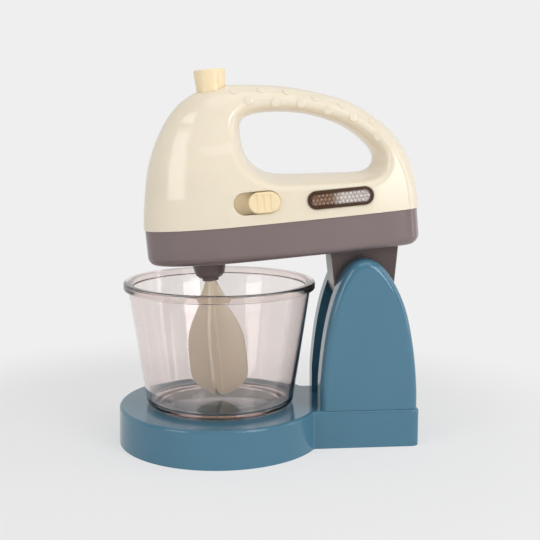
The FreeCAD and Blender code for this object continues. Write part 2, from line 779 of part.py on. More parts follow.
def make_hinge_pin():
    pin = rod(PIN_RADIUS, V(PIVOT_X, -PIN_HALF_LENGTH, PIVOT_Z), 2 * PIN_HALF_LENGTH, ALONG_Y)
    return pin.makeChamfer(PIN_CHAMFER, [e for e in pin.Edges if e.BoundBox.YLength < 1e-6])


def plug_box(gap, z0, z1):
    """The bracket's plug, or its socket where gap is more than nothing."""
    half = PLUG_HALF_WIDTH + gap
    return box(PLUG_FRONT - gap, PLUG_FRONT + PLUG_LENGTH + gap, -half, half, z0, z1)


def make_hinge_bracket():
    side = [(BRACKET_FRONT, BRACKET_TOP)] + STOP_LINE + BRACKET_LOWER_REAR + [(BRACKET_REAR, BRACKET_TOP)]
    half = BRACKET_HALF_WIDTH
    hub = rod(BRACKET_HUB_RADIUS, V(PIVOT_X, -half, PIVOT_Z), 2 * half, ALONG_Y)
    plug = plug_box(0, BRACKET_TOP - 1, BRACKET_TOP + PLUG_HEIGHT)
    plug = rounded(plug, PLUG_CORNER, lambda e: e.BoundBox.ZLength > PLUG_HEIGHT)
    bracket = fuse_all([polygon(side, -half, half), hub])
    ends = (BRACKET_FRONT + 1, BRACKET_REAR - 4)
    bracket = rounded(
        bracket, BRACKET_EDGE,
        lambda e: e.BoundBox.YLength < 1e-6 and (e.BoundBox.XMax < ends[0] or e.BoundBox.XMin > ends[1]),
    )
    bore = rod(PIN_RADIUS + PIN_FIT, V(PIVOT_X, -half, PIVOT_Z), 2 * half, ALONG_Y)
    return fuse_all([bracket, plug]).cut(bore)


# Mixer shells

def slider_half_height():
    return KNOB_HEIGHT / 2 + SLIDER_COVER


def near_ribs():
    """Rails for the slider and clips for the lamp board, moulded inside the near half."""
    wall = CASING_HALF_WIDTH
    shapes = []
    for side, rear in ((-1, RAIL_REAR), (1, UPPER_RAIL_REAR)):
        inner = SLOT_Z + side * (slider_half_height() + RAIL_GAP)
        outer = inner + side * RAIL_THICKNESS
        shapes.append(box(RAIL_FRONT, rear, -wall, -RAIL_TIP_Y, min(inner, outer), max(inner, outer)))
    tip = -LAMP_BOARD_Y + LAMP_CLIP_REACH
    for side in (-1, 1):
        inner = WINDOW_X + side * (LAMP_BOARD_HALF_LENGTH + LAMP_CLIP_GAP)
        outer = inner + side * LAMP_CLIP_THICKNESS
        shapes.append(box(min(inner, outer), max(inner, outer), -wall, tip, SEAM_Z + 2, LAMP_CLIP_TOP))
    return shapes


def casing_screw_seat(x, z):
    """Depth of a screw's seat in the far half, below the outer wall."""
    return min(CASING_SCREW_LENGTH - CASING_SCREW_BITE, wall_half_width(x, z) - CASING_SEAT_COVER)


def casing_half(side):
    """One half of the casing: side -1 is near, with the switch and the light."""
    half_space = side_box(-BIG, BIG, 0, 60, 0, BIG, side)
    form = casing_form(0).cut(opening_tunnel(0)).common(half_space)
    cavity = casing_form(CASING_WALL).cut(opening_tunnel(-OPENING_WALL))
    below = plan_block(CASING_WALL, SEAM_Z - 2, SEAM_Z + 0.5)
    shell = form.cut([cavity, below])
    fittings = []
    boss = SCREW_HEAD_RADIUS if side < 0 else SCREW_HEAD_RADIUS + FAR_BOSS_WALL
    for x, z in CASING_SCREWS:
        fittings.append(rod(boss, V(x, 0, z), 40, V(0, side, 0)))
    for x, y in TRAY_SCREWS:
        if y * side > 0:
            half = WEB_THICKNESS / 2
            fittings.append(rod(POST_RADIUS, V(x, y, SEAM_Z + SEAM_GAP), TRAY_POST_TOP - SEAM_Z))
            fittings.append(side_box(x - half, x + half, abs(y), 24, SEAM_Z + 1, TRAY_POST_TOP, side))
    guide_inner = BUTTON_RADIUS + BUTTON_GAP
    fittings.append(rod(guide_inner + GUIDE_WALL, V(BUTTON_X, 0, GUIDE_FOOT_Z), 20).common(half_space))
    ledge_rear = BOARD_REAR + BOARD_END_GAP
    ledge_inner = BOARD_HALF_WIDTH - LEDGE_OVERLAP
    ledge_foot = BOARD_Z - LEDGE_THICKNESS
    fittings.append(side_box(BOARD_FRONT - 1, ledge_rear, ledge_inner, 24, ledge_foot, BOARD_Z, side))
    if side < 0:
        fittings += near_ribs()
    shell = fuse_all([shell] + [piece.common(form) for piece in fittings])
    holes = [rod(guide_inner, V(BUTTON_X, 0, GUIDE_FOOT_Z - 1), 40)]
    for x, y in TRAY_SCREWS:
        holes.append(pilot(V(x, y, SEAM_Z - 1), TRAY_POST_TOP - SEAM_Z))
    for x, z in CASING_SCREWS:
        if side < 0:
            holes.append(pilot(V(x, 1, z), CASING_SCREW_LENGTH - 1, -ALONG_Y))
        else:
            holes.append(pilot(V(x, -1, z), 60, ALONG_Y))
            holes.append(head_pocket(V(x, casing_screw_seat(x, z), z), 60, ALONG_Y))
    if side < 0:
        holes.append(moved(stadium(SLOT_LENGTH, SLOT_HEIGHT, -40, -SLIDER_Y), SLOT_X, 0, SLOT_Z))
        border = BEZEL_BORDER / 2
        holes.append(on_window(stadium(BEZEL_LENGTH - border, BEZEL_HEIGHT - border, -8, 8)))
    return shell.cut(holes)


def make_casing_screws():
    screws = []
    for x, z in CASING_SCREWS:
        screws.append(screw(CASING_SCREW_LENGTH, V(x, casing_screw_seat(x, z), z), -ALONG_Y))
    return Part.makeCompound(screws)


def on_window(shape):
    """Takes a piece drawn about the origin, facing -Y, to the light window's place."""
    step = BEZEL_LENGTH / 2
    rise = BEZEL_HEIGHT / 2
    front = wall_half_width(WINDOW_X - step, WINDOW_Z)
    rear = wall_half_width(WINDOW_X + step, WINDOW_Z)
    low = wall_half_width(WINDOW_X, WINDOW_Z - rise)
    high = wall_half_width(WINDOW_X, WINDOW_Z + rise)
    copy = shape.copy()
    copy.rotate(V(0, 0, 0), ALONG_X, -math.degrees(math.atan2(low - high, 2 * rise)))
    copy.rotate(V(0, 0, 0), UP, math.degrees(math.atan2(front - rear, 2 * step)))
    copy.translate(V(WINDOW_X, -wall_half_width(WINDOW_X, WINDOW_Z), WINDOW_Z))
    return copy


def make_lower_tray():
    top = SEAM_Z - SEAM_GAP
    block = plan_block(TRAY_INSET, TRAY_BOTTOM, top)
    block = rounded(block, TRAY_EDGE, edge_at_height(TRAY_BOTTOM))
    floor = TRAY_FLOOR
    cavity = plan_block(TRAY_INSET + TRAY_WALL, floor, top)
    cavity = rounded(cavity, TRAY_EDGE - TRAY_WALL, edge_at_height(floor))
    roof = BRACKET_TOP + PLUG_HEIGHT + PLUG_ROOF_GAP
    tab_end = COVER_FRONT - SOCKET_WALL
    tab_half = COVER_TAB_HALF_WIDTH + 3
    fittings = [
        plug_box(PLUG_FIT + SOCKET_WALL, floor, roof + SOCKET_WALL),
        rod(AXLE_BOSS_RADIUS, V(AXLE_X, 0, floor), AXLE_BOSS_HEIGHT),
        rod(COLLAR_TOP_RADIUS, V(BEATER_X, 0, floor), 1.0),
        box(COVER_TAB_FRONT - 0.5, tab_end, -tab_half, tab_half, floor, floor + COVER_BLOCK_HEIGHT),
        rod(GEAR_POST_RADIUS, V(COVER_SCREW_X, 0, floor), COVER_POST_HEIGHT),
    ]
    fence_rear = COVER_REAR - 0.6
    for side in (-1, 1):
        fittings.append(side_box(
            COVER_FRONT + 0.5, fence_rear, CELL_FENCE_INNER, CELL_FENCE_OUTER,
            floor, floor + COVER_LIP, side))
    fittings += [rod(GEAR_POST_RADIUS, V(x, y, floor), GEAR_PLATE_Z - floor) for x, y in GEAR_POSTS]
    fittings += [rod(POST_RADIUS, V(x, y, floor - 1), top - floor + 1) for x, y in TRAY_SCREWS]
    tray = fuse_all([block.cut(cavity)] + fittings)
    holes = [
        plug_box(PLUG_FIT, TRAY_BOTTOM - 1, roof),
        cover_outline(COVER_GAP).extrude(V(0, 0, TRAY_WALL)),
        rod(AXLE_RADIUS + SHAFT_FIT, V(AXLE_X, 0, floor + AXLE_FOOT_GAP / 2), AXLE_BOSS_HEIGHT + 1),
        rod(COLLAR_SLEEVE_RADIUS + PUSH_FIT, V(BEATER_X, 0, TRAY_BOTTOM - 1), 6),
        pilot(V(COVER_SCREW_X, 0, TRAY_BOTTOM - 1), 1 + COVER_HEAD_RECESS + COVER_TAB_SCREW_LENGTH + 0.5),
    ]
    screw_foot = GEAR_PLATE_TOP - GEAR_SCREW_LENGTH - 1
    for x, y in GEAR_POSTS:
        holes.append(rod(GEAR_SCREW_RADIUS + SCREW_HOLE_GAP, V(x, y, screw_foot), GEAR_SCREW_LENGTH))
    for x, y in TRAY_SCREWS:
        holes.append(pilot(V(x, y, TRAY_BOTTOM), 30))
        holes.append(head_pocket(V(x, y, TRAY_BOTTOM - 1), 1 + TRAY_SCREW_SINK))
    return tray.cut(holes)


def make_tray_screws():
    seat = TRAY_BOTTOM + TRAY_SCREW_SINK
    return Part.makeCompound([screw(TRAY_SCREW_LENGTH, V(x, y, seat), UP) for x, y in TRAY_SCREWS])


def cover_outline(gap):
    """Face of the battery cover, grown by gap."""
    front, rear, half = COVER_FRONT - gap, COVER_REAR + gap, COVER_HALF_WIDTH + gap
    tab_front, tab_half = COVER_TAB_FRONT - gap, COVER_TAB_HALF_WIDTH + gap
    corners = []
    for x, y in (
        (front, -half), (rear, -half), (rear, half), (front, half),
        (front, tab_half), (tab_front, tab_half), (tab_front, -tab_half), (front, -tab_half),
    ):
        corners.append(V(x, y, TRAY_BOTTOM))
    return Part.Face(Part.makePolygon(corners + corners[:1]))


def make_battery_cover():
    plate = cover_outline(0).extrude(V(0, 0, TRAY_WALL - COVER_RECESS))
    foot = V(COVER_SCREW_X, 0, TRAY_BOTTOM)
    return plate.cut([pilot(foot, TRAY_WALL), head_pocket(foot, COVER_HEAD_RECESS)])


def make_battery_cover_screw():
    return screw(COVER_TAB_SCREW_LENGTH, V(COVER_SCREW_X, 0, TRAY_BOTTOM + COVER_HEAD_RECESS), UP)


# Cells and contacts

def make_cell(side):
    z = TRAY_FLOOR + CELL_LIFT + CELL_RADIUS
    length = CELL_LENGTH - CELL_CAP_LENGTH
    body = rod(CELL_RADIUS, V(CELL_FRONT, side * CELL_Y, z), length, ALONG_X)
    body = body.makeFillet(CELL_EDGE, [e for e in body.Edges if e.BoundBox.XLength < 1e-6])
    cap = rod(CELL_CAP_RADIUS, V(CELL_FRONT + length, side * CELL_Y, z), CELL_CAP_LENGTH, ALONG_X)
    return fuse_all([body, cap])


def make_front_contacts():
    z = TRAY_FLOOR
    tip = CELL_FRONT - DIMPLE_GAP
    front = tip - DIMPLE_HEIGHT - CONTACT_THICKNESS
    plates = []
    for side in (-1, 1):
        y = side * CELL_Y
        plate = box(front, front + CONTACT_THICKNESS, y - CONTACT_HALF_WIDTH, y + CONTACT_HALF_WIDTH,
                    z, z + CONTACT_HEIGHT)
        dimple = rod(DIMPLE_RADIUS, V(front + CONTACT_THICKNESS / 2, y, z + CELL_RADIUS),
                     CONTACT_THICKNESS / 2 + DIMPLE_HEIGHT, ALONG_X)
        plates.append(fuse_all([plate, dimple]))
    return Part.makeCompound(plates)


def make_rear_contact():
    z = TRAY_FLOOR
    x = CELL_FRONT + CELL_LENGTH + REAR_CONTACT_GAP
    reach = CELL_Y + CONTACT_HALF_WIDTH
    return box(x, x + REAR_CONTACT_THICKNESS, -reach, reach, z, z + CONTACT_HEIGHT)


# Drive train

def gear(teeth, z0, face_width, bore, tooth_first):
    """Spur gear about Z. With tooth_first a tooth points along +X, otherwise a gap."""
    pitch = GEAR_MODULE * teeth / 2
    tip = pitch + 0.8 * GEAR_MODULE
    root = pitch - 1.1 * GEAR_MODULE
    step = 2 * math.pi / teeth
    half_pitch = step / 4 - GEAR_BACKLASH / pitch / 2
    slope = math.tan(math.radians(PRESSURE_ANGLE_DEG))
    corners = []
    for tooth in range(teeth):
        middle = tooth * step + (0 if tooth_first else step / 2)
        for radius, sign in ((root, -1), (pitch, -1), (tip, -1), (tip, 1), (pitch, 1), (root, 1)):
            half = half_pitch + slope * (pitch - radius) / radius
            angle = middle + sign * half
            corners.append(V(radius * math.cos(angle), radius * math.sin(angle), z0))
    face = Part.Face(Part.makePolygon(corners + corners[:1]))
    return face.extrude(V(0, 0, face_width)).cut(rod(bore, V(0, 0, z0 - 1), face_width + 2))


def make_spindle_collar():
    bore = SPINDLE_RADIUS + SHAFT_FIT
    profile = [(bore, COLLAR_LOWER[0][1])] + COLLAR_LOWER + [
        (COLLAR_TOP_RADIUS, TRAY_BOTTOM), (COLLAR_SLEEVE_RADIUS, TRAY_BOTTOM),
        (COLLAR_SLEEVE_RADIUS, COLLAR_SLEEVE_TOP), (bore, COLLAR_SLEEVE_TOP),
    ]
    return moved(turned(profile), BEATER_X)


def make_spindle():
    socket = SHANK_RADIUS + PUSH_FIT
    socket_top = SHANK_TOP_Z + SHANK_END_GAP
    tip_top = COLLAR_LOWER[0][1] - SPINDLE_TIP_GAP
    flange_top = SPINDLE_FLANGE_Z + SPINDLE_FLANGE_THICKNESS
    profile = [
        (socket, SPINDLE_TIP_Z), (SPINDLE_TIP_RADIUS, SPINDLE_TIP_Z), (SPINDLE_TIP_RADIUS, tip_top),
        (SPINDLE_RADIUS, tip_top), (SPINDLE_RADIUS, SPINDLE_FLANGE_Z),
        (SPINDLE_FLANGE_RADIUS, SPINDLE_FLANGE_Z), (SPINDLE_FLANGE_RADIUS, flange_top),
        (SPINDLE_NECK_RADIUS, flange_top), (SPINDLE_NECK_RADIUS, SPINDLE_TOP_Z),
        (0, SPINDLE_TOP_Z), (0, socket_top), (socket, socket_top),
    ]
    return moved(turned(profile), BEATER_X)


def make_spindle_gear():
    bore = SPINDLE_NECK_RADIUS + PUSH_FIT
    wheel = gear(WHEEL_TEETH, SPINDLE_GEAR_Z, SPINDLE_GEAR_FACE, bore, tooth_first=False)
    foot = SPINDLE_FLANGE_Z + SPINDLE_FLANGE_THICKNESS + 0.1
    hub = tube(SPINDLE_HUB_RADIUS, bore, V(0, 0, foot), SPINDLE_GEAR_Z - foot)
    return moved(fuse_all([wheel, hub]), BEATER_X)


def make_compound_gear():
    bore = AXLE_RADIUS + SHAFT_FIT
    top = COMPOUND_WHEEL_Z + COMPOUND_WHEEL_FACE
    wheel = gear(WHEEL_TEETH, COMPOUND_WHEEL_Z, COMPOUND_WHEEL_FACE, bore, tooth_first=False)
    pinion_face = COMPOUND_WHEEL_Z - COMPOUND_PINION_Z
    pinion = gear(PINION_TEETH, COMPOUND_PINION_Z, pinion_face, bore, tooth_first=True)
    hub = tube(COMPOUND_HUB_RADIUS, bore, V(0, 0, top), COMPOUND_HUB_HEIGHT)
    return moved(fuse_all([wheel, pinion, hub]), AXLE_X)


def make_compound_axle():
    foot = TRAY_FLOOR + AXLE_FOOT_GAP
    return rod(AXLE_RADIUS, V(AXLE_X, 0, foot), GEAR_PLATE_Z + AXLE_REACH - foot)


def make_motor_pinion():
    bore = AXLE_RADIUS + PUSH_FIT
    return moved(gear(PINION_TEETH, MOTOR_PINION_Z, MOTOR_PINION_FACE, bore, tooth_first=True), BEATER_X)


def make_motor_shaft():
    top = GEAR_PLATE_TOP + MOTOR_LENGTH + MOTOR_SHAFT_REACH
    return rod(AXLE_RADIUS, V(BEATER_X, 0, MOTOR_SHAFT_FOOT), top - MOTOR_SHAFT_FOOT)


def make_motor():
    z0 = GEAR_PLATE_TOP
    top = z0 + MOTOR_LENGTH
    reach = MOTOR_RADIUS + 2
    can = rod(MOTOR_RADIUS, V(BEATER_X, 0, z0), MOTOR_LENGTH)
    can = can.common(box(BEATER_X - reach, BEATER_X + reach, -MOTOR_HALF_DEPTH, MOTOR_HALF_DEPTH, z0, top))
    nose = rod(MOTOR_NOSE_RADIUS, V(BEATER_X, 0, z0 - MOTOR_NOSE_LENGTH), MOTOR_NOSE_LENGTH)
    tail = rod(MOTOR_TAIL_RADIUS, V(BEATER_X, 0, top), MOTOR_TAIL_LENGTH)
    tabs = []
    for side in (-1, 1):
        x = BEATER_X + side * MOTOR_TAB_X
        reach, half = MOTOR_TAB_HALF_WIDTH, MOTOR_TAB_THICKNESS / 2
        tabs.append(box(x - reach, x + reach, -half, half, top, top + MOTOR_TAB_LENGTH))
    bore = rod(AXLE_RADIUS + SHAFT_FIT, V(BEATER_X, 0, z0 - 3), MOTOR_LENGTH + 8)
    return fuse_all([can, nose, tail] + tabs).cut(bore)


def make_gear_plate():
    z0, top = GEAR_PLATE_Z, GEAR_PLATE_TOP
    length, width = GEAR_PLATE_HALF_LENGTH, GEAR_PLATE_HALF_WIDTH
    plate = box(-length, length, -width, width, z0, top)
    plate = rounded(plate, GEAR_PLATE_CORNER, lambda e: e.BoundBox.ZLength > 1)
    holes = [
        rod(MOTOR_NOSE_RADIUS + 0.1, V(BEATER_X, 0, z0 - 1), 4),
        rod(AXLE_RADIUS + SHAFT_FIT, V(AXLE_X, 0, z0 - 1), 4),
    ]
    holes += [rod(GEAR_SCREW_RADIUS + SCREW_HOLE_GAP, V(x, y, z0 - 1), 4) for x, y in GEAR_POSTS]
    return plate.cut(holes)


def make_gear_plate_screws():
    top = GEAR_PLATE_TOP
    screws = []
    for x, y in GEAR_POSTS:
        shank = rod(GEAR_SCREW_RADIUS, V(x, y, top - GEAR_SCREW_LENGTH), GEAR_SCREW_LENGTH)
        head = rod(GEAR_SCREW_HEAD_RADIUS, V(x, y, top), GEAR_SCREW_HEAD_HEIGHT)
        screws.append(fuse_all([shank, head]))
    return Part.makeCompound(screws)


def make_beater():
    """Four flat leaf blades on a slim core, with a round shank above."""
    blade_top = BLADE[0][1]
    edge = [V(0, 0, BEATER_TIP_Z)] + [V(r, 0, z) for r, z in reversed(BLADE)]
    top = V(0, 0, blade_top)
    wire = Part.Wire([spline(edge), Part.makeLine(edge[-1], top), Part.makeLine(top, edge[0])])
    leaf = Part.Face(wire).extrude(V(0, BLADE_THICKNESS, 0))
    leaf.translate(V(0, -BLADE_THICKNESS / 2, 0))
    blades = []
    for index in range(BLADE_COUNT):
        blade = leaf.copy()
        blade.rotate(V(0, 0, 0), UP, BEATER_TURN_DEG + index * 360 / BLADE_COUNT)
        blades.append(blade)
    foot = BEATER_TIP_Z + BEATER_CORE_START
    core = rod(BEATER_CORE_RADIUS, V(0, 0, foot), blade_top - foot)
    collar = rod(BEATER_COLLAR_RADIUS, V(0, 0, blade_top - 0.5), 0.5 + BEATER_COLLAR_HEIGHT)
    shank = rod(SHANK_RADIUS, V(0, 0, blade_top), SHANK_TOP_Z - blade_top)
    return moved(fuse_all(blades + [core, collar, shank]), BEATER_X)


# Button and its switch

def make_top_button():
    foot = GUIDE_FOOT_Z - FLANGE_GAP - FLANGE_THICKNESS
    shaft = rod(BUTTON_RADIUS, V(BUTTON_X, 0, foot), BUTTON_TAPER_Z - foot)
    cap_height = BUTTON_TOP_Z - BUTTON_TAPER_Z
    cap = Part.makeCone(BUTTON_RADIUS, BUTTON_TOP_RADIUS, cap_height, V(BUTTON_X, 0, BUTTON_TAPER_Z))
    cap = rounded(cap, BUTTON_EDGE, edge_at_height(BUTTON_TOP_Z))
    flange = rod(BUTTON_RADIUS + FLANGE_REACH, V(BUTTON_X, 0, foot), FLANGE_THICKNESS)
    hollow = rod(BUTTON_RADIUS - BUTTON_WALL, V(BUTTON_X, 0, foot - 1), 1 + spring_seat() - foot)
    stem_foot = BOARD_TOP + KEY_HEIGHT + PLUNGER_HEIGHT + BUTTON_TRAVEL + STEM_GAP
    stem = rod(BUTTON_STEM_RADIUS, V(BUTTON_X, 0, stem_foot), spring_seat() + 1 - stem_foot)
    return fuse_all([fuse_all([shaft, cap, flange]).cut(hollow), stem])


def spring_seat():
    """Height inside the button where its spring pushes."""
    return GUIDE_FOOT_Z + 0.7


def make_button_board():
    half = BOARD_HALF_WIDTH
    plate = box(BOARD_FRONT, BOARD_REAR, -half, half, BOARD_Z, BOARD_TOP)
    key = KEY_HALF_WIDTH
    body = box(BUTTON_X - key, BUTTON_X + key, -key, key, BOARD_TOP, BOARD_TOP + KEY_HEIGHT)
    plunger = rod(PLUNGER_RADIUS, V(BUTTON_X, 0, BOARD_TOP + KEY_HEIGHT), PLUNGER_HEIGHT)
    return fuse_all([plate, body, plunger])


def make_button_spring():
    low = BOARD_TOP + SPRING_WIRE_RADIUS + SPRING_GAP
    high = spring_seat() - SPRING_WIRE_RADIUS - SPRING_GAP
    helix = Part.makeHelix((high - low) / SPRING_TURNS, high - low, SPRING_RADIUS)
    start = Part.Wire([Part.makeCircle(SPRING_WIRE_RADIUS, V(SPRING_RADIUS, 0, 0), ALONG_Y)])
    coil = Part.Wire(helix).makePipeShell([start], True, True)
    return moved(coil, BUTTON_X, 0, low)


# Slide switch

def knob_x():
    """The knob rests at the rear end of its slot."""
    return SLOT_X + SLOT_LENGTH / 2 - KNOB_LENGTH / 2 - KNOB_END_GAP


def make_speed_switch():
    x = knob_x()
    knob = stadium(KNOB_LENGTH, KNOB_HEIGHT, -KNOB_PROUD_Y, -SLIDER_Y)
    knob = rounded(knob, KNOB_EDGE, lambda e: e.BoundBox.YMax < -KNOB_PROUD_Y + 1e-3)
    grooves = []
    for index in range(KNOB_GROOVES):
        groove_x = (index - (KNOB_GROOVES - 1) / 2) * KNOB_GROOVE_PITCH + KNOB_GROOVE_SHIFT
        middle_y = -KNOB_PROUD_Y + KNOB_GROOVE_DEPTH - KNOB_GROOVE_RADIUS
        foot = V(groove_x, middle_y, -KNOB_GROOVE_HALF_HEIGHT)
        grooves.append(rod(KNOB_GROOVE_RADIUS, foot, 2 * KNOB_GROOVE_HALF_HEIGHT))
    half = slider_half_height()
    front = SLOT_X - SLOT_LENGTH / 2 - SLIDER_OVERRUN - x
    rear = SLOT_X + SLOT_LENGTH / 2 + SWITCH_TRAVEL + SLIDER_OVERRUN - x
    back = -SLIDER_Y + SLIDER_THICKNESS
    slider = box(front, rear, -SLIDER_Y, back, -half, half)
    peg = box(-PEG_HALF, PEG_HALF, back, -PEG_TIP_Y, -PEG_HALF, PEG_HALF)
    return moved(fuse_all([knob, slider, peg]).cut(fuse_all(grooves)), x, 0, SLOT_Z)


def make_slide_switch():
    half = slider_half_height() + RAIL_GAP - SWITCH_BLOCK_GAP
    x = knob_x()
    front = -SLIDER_Y + SLIDER_THICKNESS + 0.3
    low, high = SLOT_Z - half, SLOT_Z + half
    block = box(SWITCH_BLOCK_FRONT, SWITCH_BLOCK_REAR, front, -SWITCH_BLOCK_BACK_Y, low, high)
    reach = PEG_HALF + PEG_GAP
    low, high = SLOT_Z - reach, SLOT_Z + reach
    slot = box(x - SWITCH_TRAVEL - reach, x + reach, front - 1, -SWITCH_SLOT_Y, low, high)
    return block.cut(slot)


# Light window

def make_light_bezel():
    border = BEZEL_BORDER / 2 + 2 * BEZEL_FIT
    rim = stadium(BEZEL_LENGTH, BEZEL_HEIGHT, -BEZEL_PROUD - BEZEL_LIP, -0.05)
    sleeve = stadium(BEZEL_LENGTH - border, BEZEL_HEIGHT - border, -BEZEL_LIP, BEZEL_DEPTH)
    window = stadium(BEZEL_LENGTH - 2 * BEZEL_BORDER, BEZEL_HEIGHT - 2 * BEZEL_BORDER, -5, 8)
    return on_window(fuse_all([rim, sleeve]).cut(window))


def make_light_lens():
    gap = 2 * (BEZEL_BORDER + LENS_GAP)
    plate = stadium(BEZEL_LENGTH - gap, BEZEL_HEIGHT - gap, LENS_SETBACK, LENS_SETBACK + LENS_THICKNESS)
    return on_window(plate)


def make_lamp_board():
    half = LAMP_BOARD_HALF_LENGTH
    y = -LAMP_BOARD_Y
    return box(WINDOW_X - half, WINDOW_X + half, y, y + LAMP_BOARD_THICKNESS, LAMP_BOARD_LOW, LAMP_BOARD_HIGH)


def make_lamp():
    y = -LAMP_BOARD_Y
    body = rod(LAMP_FOOT_RADIUS, V(WINDOW_X, y, WINDOW_Z), LAMP_FOOT_HEIGHT, -ALONG_Y)
    bulb = rod(LAMP_RADIUS, V(WINDOW_X, y - LAMP_FOOT_HEIGHT, WINDOW_Z), LAMP_LENGTH, -ALONG_Y)
    return fuse_all([body, bulb])


# Bowl

def make_bowl():
    low = BASE_HEIGHT + BOWL_BASE_GAP
    neck_z = BOWL_TOP_Z - BOWL_RIM_HEIGHT
    foot_z = low + BOWL_BASE_ROUND
    inner_neck = BOWL_NECK_RADIUS - BOWL_WALL
    inner_foot = BOWL_FOOT_RADIUS - BOWL_WALL
    seat = SEAT_PAD_RADIUS + SEAT_FIT
    recess = low + SEAT_PAD_HEIGHT + SEAT_ROOF_GAP
    floor = low + BOWL_FLOOR
    rise = BOWL_PAD_RISE
    turn = (1 - math.sqrt(0.5)) * BOWL_BASE_ROUND
    inner_turn = (1 - math.sqrt(0.5)) * BOWL_FLOOR_ROUND
    edge = BOWL_RIM_ROUND
    profile = [
        (0, recess), (seat, recess), (seat, low),
        (BOWL_FOOT_RADIUS - BOWL_BASE_ROUND, low),
        (BOWL_FOOT_RADIUS - turn, low + turn),
        (BOWL_FOOT_RADIUS, foot_z),
        (BOWL_NECK_RADIUS, neck_z),
        (BOWL_RIM_RADIUS - edge, neck_z),
        (BOWL_RIM_RADIUS, neck_z + edge),
        (BOWL_RIM_RADIUS, BOWL_TOP_Z - edge),
        (BOWL_RIM_RADIUS - edge, BOWL_TOP_Z),
        (inner_neck + edge, BOWL_TOP_Z),
        (inner_neck, BOWL_TOP_Z - edge),
        (inner_foot, foot_z),
        (inner_foot - inner_turn, floor + inner_turn),
        (inner_foot - BOWL_FLOOR_ROUND, floor),
        (seat + rise, floor), (seat - rise / 2, floor + rise), (0, floor + rise),
    ]
    return turned(profile)


def make_nodes():
    far_upright = make_far_upright()
    nodes = {
        "base_shell": make_base_shell(),
        "base_cover": make_base_cover(),
        "base_cover_screws": make_base_cover_screws(),
        "near_upright": mirrored(far_upright),
        "far_upright": far_upright,
        "upright_screws": make_upright_screws(),
        "hinge_pin": make_hinge_pin(),
        "bowl": make_bowl(),
    }
    mixer = {
        "hinge_bracket": make_hinge_bracket(),
        "near_casing": casing_half(-1),
        "far_casing": casing_half(1),
        "casing_screws": make_casing_screws(),
        "lower_tray": make_lower_tray(),
        "tray_screws": make_tray_screws(),
        "battery_cover": make_battery_cover(),
        "battery_cover_screw": make_battery_cover_screw(),
        "near_cell": make_cell(-1),
        "far_cell": make_cell(1),
        "front_contacts": make_front_contacts(),
        "rear_contact": make_rear_contact(),
        "spindle_collar": make_spindle_collar(),
        "spindle": make_spindle(),
        "spindle_gear": make_spindle_gear(),
        "beater": make_beater(),
        "compound_gear": make_compound_gear(),
        "compound_axle": make_compound_axle(),
        "motor_pinion": make_motor_pinion(),
        "motor_shaft": make_motor_shaft(),
        "motor": make_motor(),
        "gear_plate": make_gear_plate(),
        "gear_plate_screws": make_gear_plate_screws(),
        "top_button": make_top_button(),
        "button_spring": make_button_spring(),
        "button_board": make_button_board(),
        "speed_switch": make_speed_switch(),
        "slide_switch": make_slide_switch(),
        "light_bezel": make_light_bezel(),
        "light_lens": make_light_lens(),
        "lamp": make_lamp(),
        "lamp_board": make_lamp_board(),
    }
    for name, shape in mixer.items():
        nodes[name] = drooped(shape)
    return nodes


os.makedirs("parts", exist_ok=True)
for node_name, node_shape in make_nodes().items():
    node_shape.exportStep("parts/" + node_name + ".step")
    print(node_name, node_shape.isValid(), len(node_shape.Solids), round(node_shape.Volume, 1))
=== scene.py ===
import json
import math

import bmesh
import bpy
import numpy as np
from mathutils import Matrix, Vector
from mathutils.geometry import delaunay_2d_cdt


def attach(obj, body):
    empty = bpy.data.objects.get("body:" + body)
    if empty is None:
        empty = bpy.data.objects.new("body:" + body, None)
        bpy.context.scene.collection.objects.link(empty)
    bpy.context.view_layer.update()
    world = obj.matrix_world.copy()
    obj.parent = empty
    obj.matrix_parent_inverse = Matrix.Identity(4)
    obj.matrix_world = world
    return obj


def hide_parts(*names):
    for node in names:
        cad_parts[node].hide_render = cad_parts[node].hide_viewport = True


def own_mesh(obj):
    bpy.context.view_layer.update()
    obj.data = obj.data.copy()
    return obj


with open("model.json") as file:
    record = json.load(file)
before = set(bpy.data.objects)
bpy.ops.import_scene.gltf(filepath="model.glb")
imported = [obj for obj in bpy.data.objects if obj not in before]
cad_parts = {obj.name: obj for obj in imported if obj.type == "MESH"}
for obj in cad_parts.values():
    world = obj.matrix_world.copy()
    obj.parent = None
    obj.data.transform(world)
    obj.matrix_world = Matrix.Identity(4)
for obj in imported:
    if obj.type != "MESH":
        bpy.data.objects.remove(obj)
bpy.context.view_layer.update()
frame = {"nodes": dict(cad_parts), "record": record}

# Millimetres to Blender's metres
MM = 0.001

# The mixer is drawn level and then drops about the hinge, as it rests on the stand
HINGE = Vector((72.0, 0.0, 84.0)) * MM
HEAD_DROOP = math.radians(5.0)

BODY_OF = {}
for body_name, members in frame["record"]["behaviour"]["bodies"].items():
    for member in members:
        BODY_OF[member] = body_name

SLOT_OF = {}
for part in frame["record"]["subparts"]:
    SLOT_OF[part["node"]] = part["material_slot"]


# Materials

def linear(hex_colour, alpha=1.0):
    """sRGB hex to Blender's linear colour."""
    channels = []
    for start in (0, 2, 4):
        value = int(hex_colour[start:start + 2], 16) / 255
        if value <= 0.04045:
            channels.append(value / 12.92)
        else:
            channels.append(((value + 0.055) / 1.055) ** 2.4)
    return (*channels, alpha)


def add(tree, kind, inputs=None, **settings):
    """Adds a node. Inputs are values or the sockets that feed them."""
    made = tree.nodes.new(kind)
    for name, value in settings.items():
        setattr(made, name, value)
    for name, value in (inputs or {}).items():
        socket = made.inputs[name]
        if isinstance(value, bpy.types.NodeSocket):
            tree.links.new(value, socket)
        else:
            socket.default_value = value
    return made


